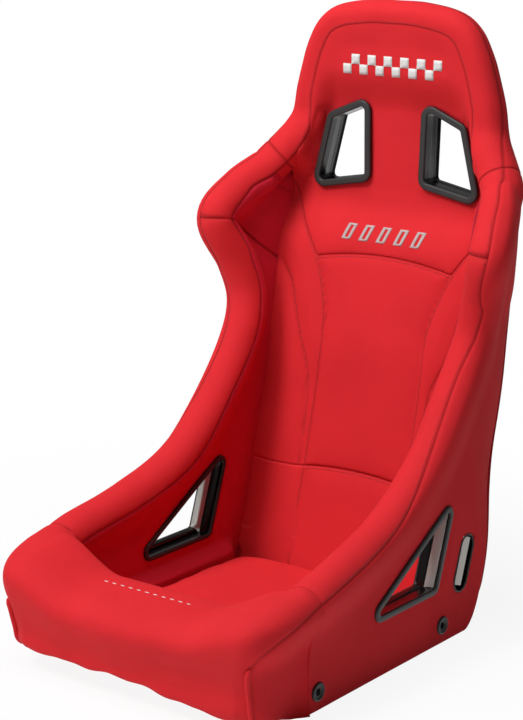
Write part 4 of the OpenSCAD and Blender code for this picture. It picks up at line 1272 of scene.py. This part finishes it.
def make_washers():
    """Four dark washers with a dished face, spun about the mount axes."""
    profile = [
        (207.4, 4.7), (208.6, 4.7), (209.3, 5.6), (209.0, 7.6), (209.6, 8.8), (210.5, 9.6),
        (210.7, 10.8), (210.2, 12.0), (209.0, 12.5), (207.4, 12.5),
    ]
    whole = bmesh.new()
    for y, z in MOUNT_YZ:
        for sign in (1, -1):
            bm = bmesh.new()
            verts = [bm.verts.new((sign * d * 0.001, y * 0.001, (z + r) * 0.001)) for d, r in profile]
            edges = [bm.edges.new((verts[i], verts[(i + 1) % len(verts)])) for i in range(len(verts))]
            bmesh.ops.spin(
                bm, geom=verts + edges, cent=(0, y * 0.001, z * 0.001), axis=(1, 0, 0), angle=2 * math.pi,
                steps=40, use_merge=True)
            bmesh.ops.remove_doubles(bm, verts=bm.verts, dist=1e-6)
            bmesh.ops.recalc_face_normals(bm, faces=bm.faces)
            part = bpy.data.meshes.new("washer")
            bm.to_mesh(part)
            bm.free()
            whole.from_mesh(part)
            bpy.data.meshes.remove(part)
    piece = new_piece("mount_washer_rings", whole, "washer")
    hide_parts("mount_washers")


def dress_frame():
    """Finish of the frame nodes that stay as they are."""
    slots = {p["node"]: p["material_slot"] for p in frame["record"]["subparts"]}
    for node, piece in frame["nodes"].items():
        if slots[node] in ("frame", "boss", "webbing"):
            piece.data.materials.clear()
            piece.data.materials.append(finish(slots[node]))


# Stitches

def sew(bm, line, facing, pitch, length, thick):
    """Small thread beads along a line of 3-D points, in mm."""
    run = np.concatenate([[0], np.cumsum(np.linalg.norm(np.diff(line, axis=0), axis=1))])
    for d in np.arange(pitch / 2, run[-1], pitch):
        p = np.array([np.interp(d, run, line[:, k]) for k in range(3)])
        q = np.array([np.interp(min(run[-1], d + 1), run, line[:, k]) for k in range(3)])
        n = np.array([np.interp(d, run, facing[:, k]) for k in range(3)])
        t = unit(q - p)
        n = unit(n - t * (n @ t))
        b = np.cross(n, t)
        size = Matrix.Diagonal((length / 2, thick * 0.6, thick / 2, 1))
        turn = Matrix((
            (t[0], b[0], n[0], p[0]), (t[1], b[1], n[1], p[1]), (t[2], b[2], n[2], p[2]), (0, 0, 0, 1),
        ))
        bead = Matrix.Scale(0.001, 4) @ turn @ size
        bmesh.ops.create_icosphere(bm, subdivisions=1, radius=1.0, matrix=bead)


def back_thread_line(line, look):
    """3-D line and facing a little beside a seam of the back."""
    t = np.linspace(0, len(line) - 1, len(line) * 6)
    x, z = (np.interp(t, np.arange(len(line)), line[:, k]) for k in (0, 1))
    points, _ = back_points(x, z, look)
    points[:, 1] -= 0.3
    facing = np.tile([0.0, -1.0, 0.25], (len(points), 1))
    return points, facing


def make_stitches():
    """Thread beside every seam of the back and the rolls, as one piece."""
    look = bpy.context.scene.seat_look
    bm = bmesh.new()
    size = (look.stitch_mm * 1.25, look.stitch_mm, 0.8)
    beside, turn = 3.4, 7.0
    for side in (1, -1):
        for line, offset in ((SPINE_SEAM, beside), (FLANK_SEAM, -beside)):
            row = (line + [offset, 0]) * [side, 1]
            sew(bm, *back_thread_line(row[1:-1], look), *size)
    for line in (LUMBAR_SEAM, CHEST_SEAM):
        sew(bm, *back_thread_line(line - [0, beside], look), *size)
    for side in (1, -1):
        for table, degrees in ((INNER_SEAM, turn), (OUTER_SEAM, -turn)):
            for s0, s1 in ((3.1, 9.95), (10.05, 12.2)):
                s, _ = stations(s0, s1, 6)
                a = smooth_table(table, s)[:, None] + degrees
                points = ring(s, a, np.full(a.shape, ROLL_R + 0.25))[:, 0]
                sew(bm, points * [side, 1, 1], (points - rim(s)) * [side, 1, 1], *size)
        for at in (11.74, 11.86):
            s = np.full(40, at)
            inner, outer = (smooth_table(table, s)[0] for table in (INNER_SEAM, OUTER_SEAM))
            span = np.linspace(inner, outer, len(s))[:, None]
            points = ring(s, span, np.full(span.shape, ROLL_R - 0.2))[:, 0]
            sew(bm, points * [side, 1, 1], (points - rim(s)) * [side, 1, 1], *size)
    s, _ = stations(12.4, 2 * S_TOP - 12.4, 6)
    a = smooth_table(INNER_SEAM, s)[:, None] + turn
    points = ring(s, a, roll_r(s[:, None], a) - 0.2)[:, 0]
    sew(bm, points, points - rim(s), *size)
    new_piece("seam_stitches", bm, "thread")


def make_marks():
    """Plain sewn marks: a chequer strip on the head, slanted bars on the chest, dashes on the bolster."""
    look = bpy.context.scene.seat_look

    def patch(name, cols, rows, keep, place, tint):
        bm = bmesh.new()
        bmesh.ops.create_grid(bm, x_segments=cols * 3, y_segments=rows * 3, size=0.5)
        gone = []
        for face in bm.faces:
            c = face.calc_center_median()
            if not keep((c.x + 0.5) * cols, (c.y + 0.5) * rows):
                gone.append(face)
        bmesh.ops.delete(bm, geom=gone, context="FACES")
        flat = np.array([(v.co.x + 0.5, v.co.y + 0.5) for v in bm.verts])
        spots = place(flat[:, 0], flat[:, 1])
        for vert, spot in zip(bm.verts, spots):
            vert.co = Vector(spot) * 0.001
        face_towards(bm, (0, -1, 0.2))
        thicken(new_piece(name, bm, tint), 0.5)

    def on_head(u, v):
        x, z = mix(-80, 82, u), mix(736, 764, v)
        points, _ = upper_front(x, z, look)
        return points - [0, 0.7, 0]

    def on_chest(u, v):
        z = mix(502, 524, v)
        x = mix(-70, 60, u) + 0.35 * (z - 513)
        points, _ = upper_front(x, z, look)
        return points - [0, 0.6, 0]

    def frame_only(c, r):
        c = c % 2
        return c < 1 and not (0.22 < c < 0.78 and 0.34 < r < 2.66)

    patch("head_chequer", 12, 2, lambda c, r: (int(c) + int(r)) % 2 == 0, on_head, "white_thread")
    patch("chest_bars", 9, 3, frame_only, on_chest, "grey_thread")
    half, _ = bolster_points()
    crest = np.array([row[row[:, 2].argmax()] for row in half[:32, 11:32]])
    line = np.concatenate([crest[:0:-1] * [-1, 1, 1], crest])
    line = line[(line[:, 0] > -84) & (line[:, 0] < 66)] + [0, -6, 0.1]
    bm = bmesh.new()
    sew(bm, line, np.tile([0.0, -0.35, 1.0], (len(line), 1)), 13.5, 8.5, 1.5)
    new_piece("bolster_dashes", bm, "white_thread")


# Stage

WHITE = (1, 1, 1, 1)


def make_floor(half_width):
    """White floor that keeps a soft shadow under the seat."""
    bm = bmesh.new()
    bmesh.ops.create_grid(bm, x_segments=8, y_segments=8, size=half_width)
    mesh = bpy.data.meshes.new("floor")
    bm.to_mesh(mesh)
    bm.free()
    floor = bpy.data.objects.new("floor", mesh)
    bpy.context.scene.collection.objects.link(floor)
    material, n = new_material("floor_white")
    path = n.add("ShaderNodeLightPath").outputs
    seen = n.math("MAXIMUM", path["Is Glossy Ray"], path["Is Transmission Ray"])
    seen = n.math("MAXIMUM", path["Is Camera Ray"], seen)
    glow = n.add("ShaderNodeEmission", {"Color": WHITE, "Strength": 1.0}).outputs[0]
    matt = n.add("ShaderNodeBsdfDiffuse", {"Color": (0.9, 0.9, 0.9, 1)}).outputs[0]
    far = n.add("ShaderNodeVectorMath", {0: n.place()}, operation="LENGTH").outputs["Value"]
    clear = n.add("ShaderNodeMapRange", {0: far, 1: 0.35, 2: 1.1, 3: 0.90, 4: 1.0}, clamp=True).outputs[0]
    both = n.add("ShaderNodeMixShader", {0: n.math("MULTIPLY", seen, clear), 1: matt, 2: glow}).outputs[0]
    n.plug(n.tree.nodes["Material Output"].inputs[0], both)
    mesh.materials.append(material)


def make_world(ambient):
    """White backdrop, and a light from all round that is stronger on the left."""
    world = bpy.data.worlds.new("studio")
    bpy.context.scene.world = world
    world.use_nodes = True
    world.node_tree.nodes.clear()
    n = Nodes(world.node_tree)
    path = n.add("ShaderNodeLightPath").outputs
    seen = n.math("MAXIMUM", path["Is Camera Ray"], path["Is Transmission Ray"])
    towards = n.add("ShaderNodeTexCoord").outputs["Generated"]
    across = n.add("ShaderNodeSeparateXYZ", {0: towards}).outputs[0]
    left, right = ambient * 1.15, ambient * 0.35
    strength = n.add("ShaderNodeMapRange", {0: across, 1: -0.6, 2: 0.8, 3: left, 4: right}).outputs[0]
    around = n.add("ShaderNodeBackground", {0: WHITE, 1: strength}).outputs[0]
    backdrop = n.add("ShaderNodeBackground", {0: WHITE, 1: 1.0}).outputs[0]
    pick = n.add("ShaderNodeMixShader", {0: seen, 1: around, 2: backdrop}).outputs[0]
    n.add("ShaderNodeOutputWorld", {0: pick})


def make_lamp(name, place, target, size, watts):
    """Round area light that looks at a target."""
    data = bpy.data.lights.new(name, "AREA")
    data.shape = "DISK"
    data.size = size
    data.energy = watts
    lamp = bpy.data.objects.new(name, data)
    bpy.context.scene.collection.objects.link(lamp)
    lamp.location = place
    lamp.rotation_euler = (Vector(target) - Vector(place)).to_track_quat("-Z", "Y").to_euler()


def make_camera():
    """Camera fitted to the view of the photo."""
    camera = bpy.data.objects.new("camera", bpy.data.cameras.new("camera"))
    bpy.context.scene.collection.objects.link(camera)
    lens = camera.data
    lens.lens = 106.265
    lens.sensor_width = 36
    lens.sensor_fit = "AUTO"
    lens.shift_x = -0.006493
    lens.shift_y = -0.013086
    lens.clip_end = 50
    roll = math.radians(0.627)
    right = Vector((0.8052, 0.5930, 0))
    up = Vector((-0.1397, 0.1896, 0.9719))
    back = Vector((0.5763, -0.7826, 0.2355))
    level = math.cos(roll) * right + math.sin(roll) * up
    top = math.cos(roll) * up - math.sin(roll) * right
    turn = Matrix((level, top, back)).transposed().to_4x4()
    camera.matrix_world = Matrix.Translation((1.6128, -2.2024, 1.0591)) @ turn
    bpy.context.scene.camera = camera


def make_stage():
    """Floor, backdrop, lights and camera."""
    stage = bpy.context.scene.seat_stage
    bpy.context.scene.view_settings.view_transform = "Standard"
    make_floor(stage.floor_m)
    make_world(stage.ambient)
    make_lamp("key_light", (-0.95, -2.0, 3.1), (0, 0, 0.35), 1.3, stage.key_watts)
    make_lamp("top_light", (-0.05, -0.6, 3.0), (0, -0.05, 0.3), 1.6, stage.top_watts)
    make_lamp("fill_light", (2.6, -1.2, 1.6), (0, 0, 0.4), 2.0, stage.fill_watts)
    make_camera()


# Operators and panel

class SEAT_OT_stage(bpy.types.Operator):
    """Floor, light and camera"""
    bl_idname = "seat.stage"
    bl_label = "Stage"

    def execute(self, context):
        make_stage()
        return {"FINISHED"}


class SEAT_OT_rolls(bpy.types.Operator):
    """Padded edge rolls of the thighs, shoulders and head"""
    bl_idname = "seat.rolls"
    bl_label = "Edge rolls"

    def execute(self, context):
        for side, mirrored in SIDES:
            for kind, s0, s1, seams in (
                ("thigh_roll", S_FRONT, S_WING, ()),
                ("shoulder_roll", S_WING, S_NECK, (11.8,)),
            ):
                make_roll(f"{kind}_cover_{side}", f"{kind}_{side}", s0, s1, seams, mirrored)
        make_roll("head_roll_cover", "head_roll", S_NECK, 2 * S_TOP - S_NECK)
        return {"FINISHED"}


class SEAT_OT_side_pads(bpy.types.Operator):
    """Inner side and wing pads"""
    bl_idname = "seat.side_pads"
    bl_label = "Side pads"

    def execute(self, context):
        for side, mirrored in SIDES:
            make_side_pad(side, mirrored)
        return {"FINISHED"}


class SEAT_OT_side_panels(bpy.types.Operator):
    """Outer side panels"""
    bl_idname = "seat.side_panels"
    bl_label = "Side panels"

    def execute(self, context):
        for side, mirrored in SIDES:
            make_side_panel(side, mirrored)
        return {"FINISHED"}


class SEAT_OT_back(bpy.types.Operator):
    """Lumbar, back and upper pads"""
    bl_idname = "seat.back"
    bl_label = "Back pads"

    def execute(self, context):
        make_back_pads()
        make_upper_pad()
        return {"FINISHED"}


class SEAT_OT_rear_panel(bpy.types.Operator):
    """Sewn rear panel"""
    bl_idname = "seat.rear_panel"
    bl_label = "Rear panel"

    def execute(self, context):
        make_rear_panel()
        return {"FINISHED"}


class SEAT_OT_bolster(bpy.types.Operator):
    """Front bolster"""
    bl_idname = "seat.bolster"
    bl_label = "Front bolster"

    def execute(self, context):
        make_bolster()
        return {"FINISHED"}


class SEAT_OT_cushion(bpy.types.Operator):
    """Lift-out cushion and the cloth under it"""
    bl_idname = "seat.cushion"
    bl_label = "Cushion"

    def execute(self, context):
        make_cushion()
        make_base_cloth()
        return {"FINISHED"}


class SEAT_OT_trim(bpy.types.Operator):
    """Belt-slot bezels, slit trims and mount washers"""
    bl_idname = "seat.trim"
    bl_label = "Trim"

    def execute(self, context):
        for side, mirrored in SIDES:
            make_bezels(side, mirrored)
        make_washers()
        return {"FINISHED"}


class SEAT_OT_frame(bpy.types.Operator):
    """Finish of the steel frame, bosses and webbing"""
    bl_idname = "seat.frame"
    bl_label = "Frame finish"

    def execute(self, context):
        dress_frame()
        return {"FINISHED"}


class SEAT_OT_stitches(bpy.types.Operator):
    """Thread along the seams"""
    bl_idname = "seat.stitches"
    bl_label = "Stitches"

    def execute(self, context):
        make_stitches()
        return {"FINISHED"}


class SEAT_OT_marks(bpy.types.Operator):
    """Plain sewn marks of the head, chest and bolster"""
    bl_idname = "seat.marks"
    bl_label = "Sewn marks"

    def execute(self, context):
        make_marks()
        return {"FINISHED"}


STEPS = (
    SEAT_OT_stage, SEAT_OT_frame, SEAT_OT_rolls, SEAT_OT_side_pads, SEAT_OT_side_panels, SEAT_OT_back,
    SEAT_OT_rear_panel, SEAT_OT_bolster, SEAT_OT_cushion, SEAT_OT_trim, SEAT_OT_stitches,
    SEAT_OT_marks,
)


class SEAT_PT_panel(bpy.types.Panel):
    """Sidebar panel of the seat"""
    bl_idname = "SEAT_PT_panel"
    bl_label = "Racing seat"
    bl_space_type = "VIEW_3D"
    bl_region_type = "UI"
    bl_category = "Seat"

    def draw(self, context):
        for group in (context.scene.seat_look, context.scene.seat_stage):
            box = self.layout.box()
            for name in group.__annotations__:
                box.prop(group, name)
        for step in STEPS:
            self.layout.operator(step.bl_idname)


CLASSES = (SeatLook, SeatStage) + STEPS + (SEAT_PT_panel,)


def register():
    for cls in CLASSES:
        bpy.utils.register_class(cls)
    bpy.types.Scene.seat_look = PointerProperty(type=SeatLook)
    bpy.types.Scene.seat_stage = PointerProperty(type=SeatStage)


def unregister():
    del bpy.types.Scene.seat_stage
    del bpy.types.Scene.seat_look
    for cls in reversed(CLASSES):
        bpy.utils.unregister_class(cls)


def main():
    """Build the seat and its stage."""
    register()
    bpy.ops.seat.stage()
    bpy.ops.seat.frame()
    bpy.ops.seat.rolls()
    bpy.ops.seat.side_pads()
    bpy.ops.seat.side_panels()
    bpy.ops.seat.back()
    bpy.ops.seat.rear_panel()
    bpy.ops.seat.bolster()
    bpy.ops.seat.cushion()
    bpy.ops.seat.trim()
    bpy.ops.seat.stitches()
    bpy.ops.seat.marks()


if __name__ == "__main__":
    main()
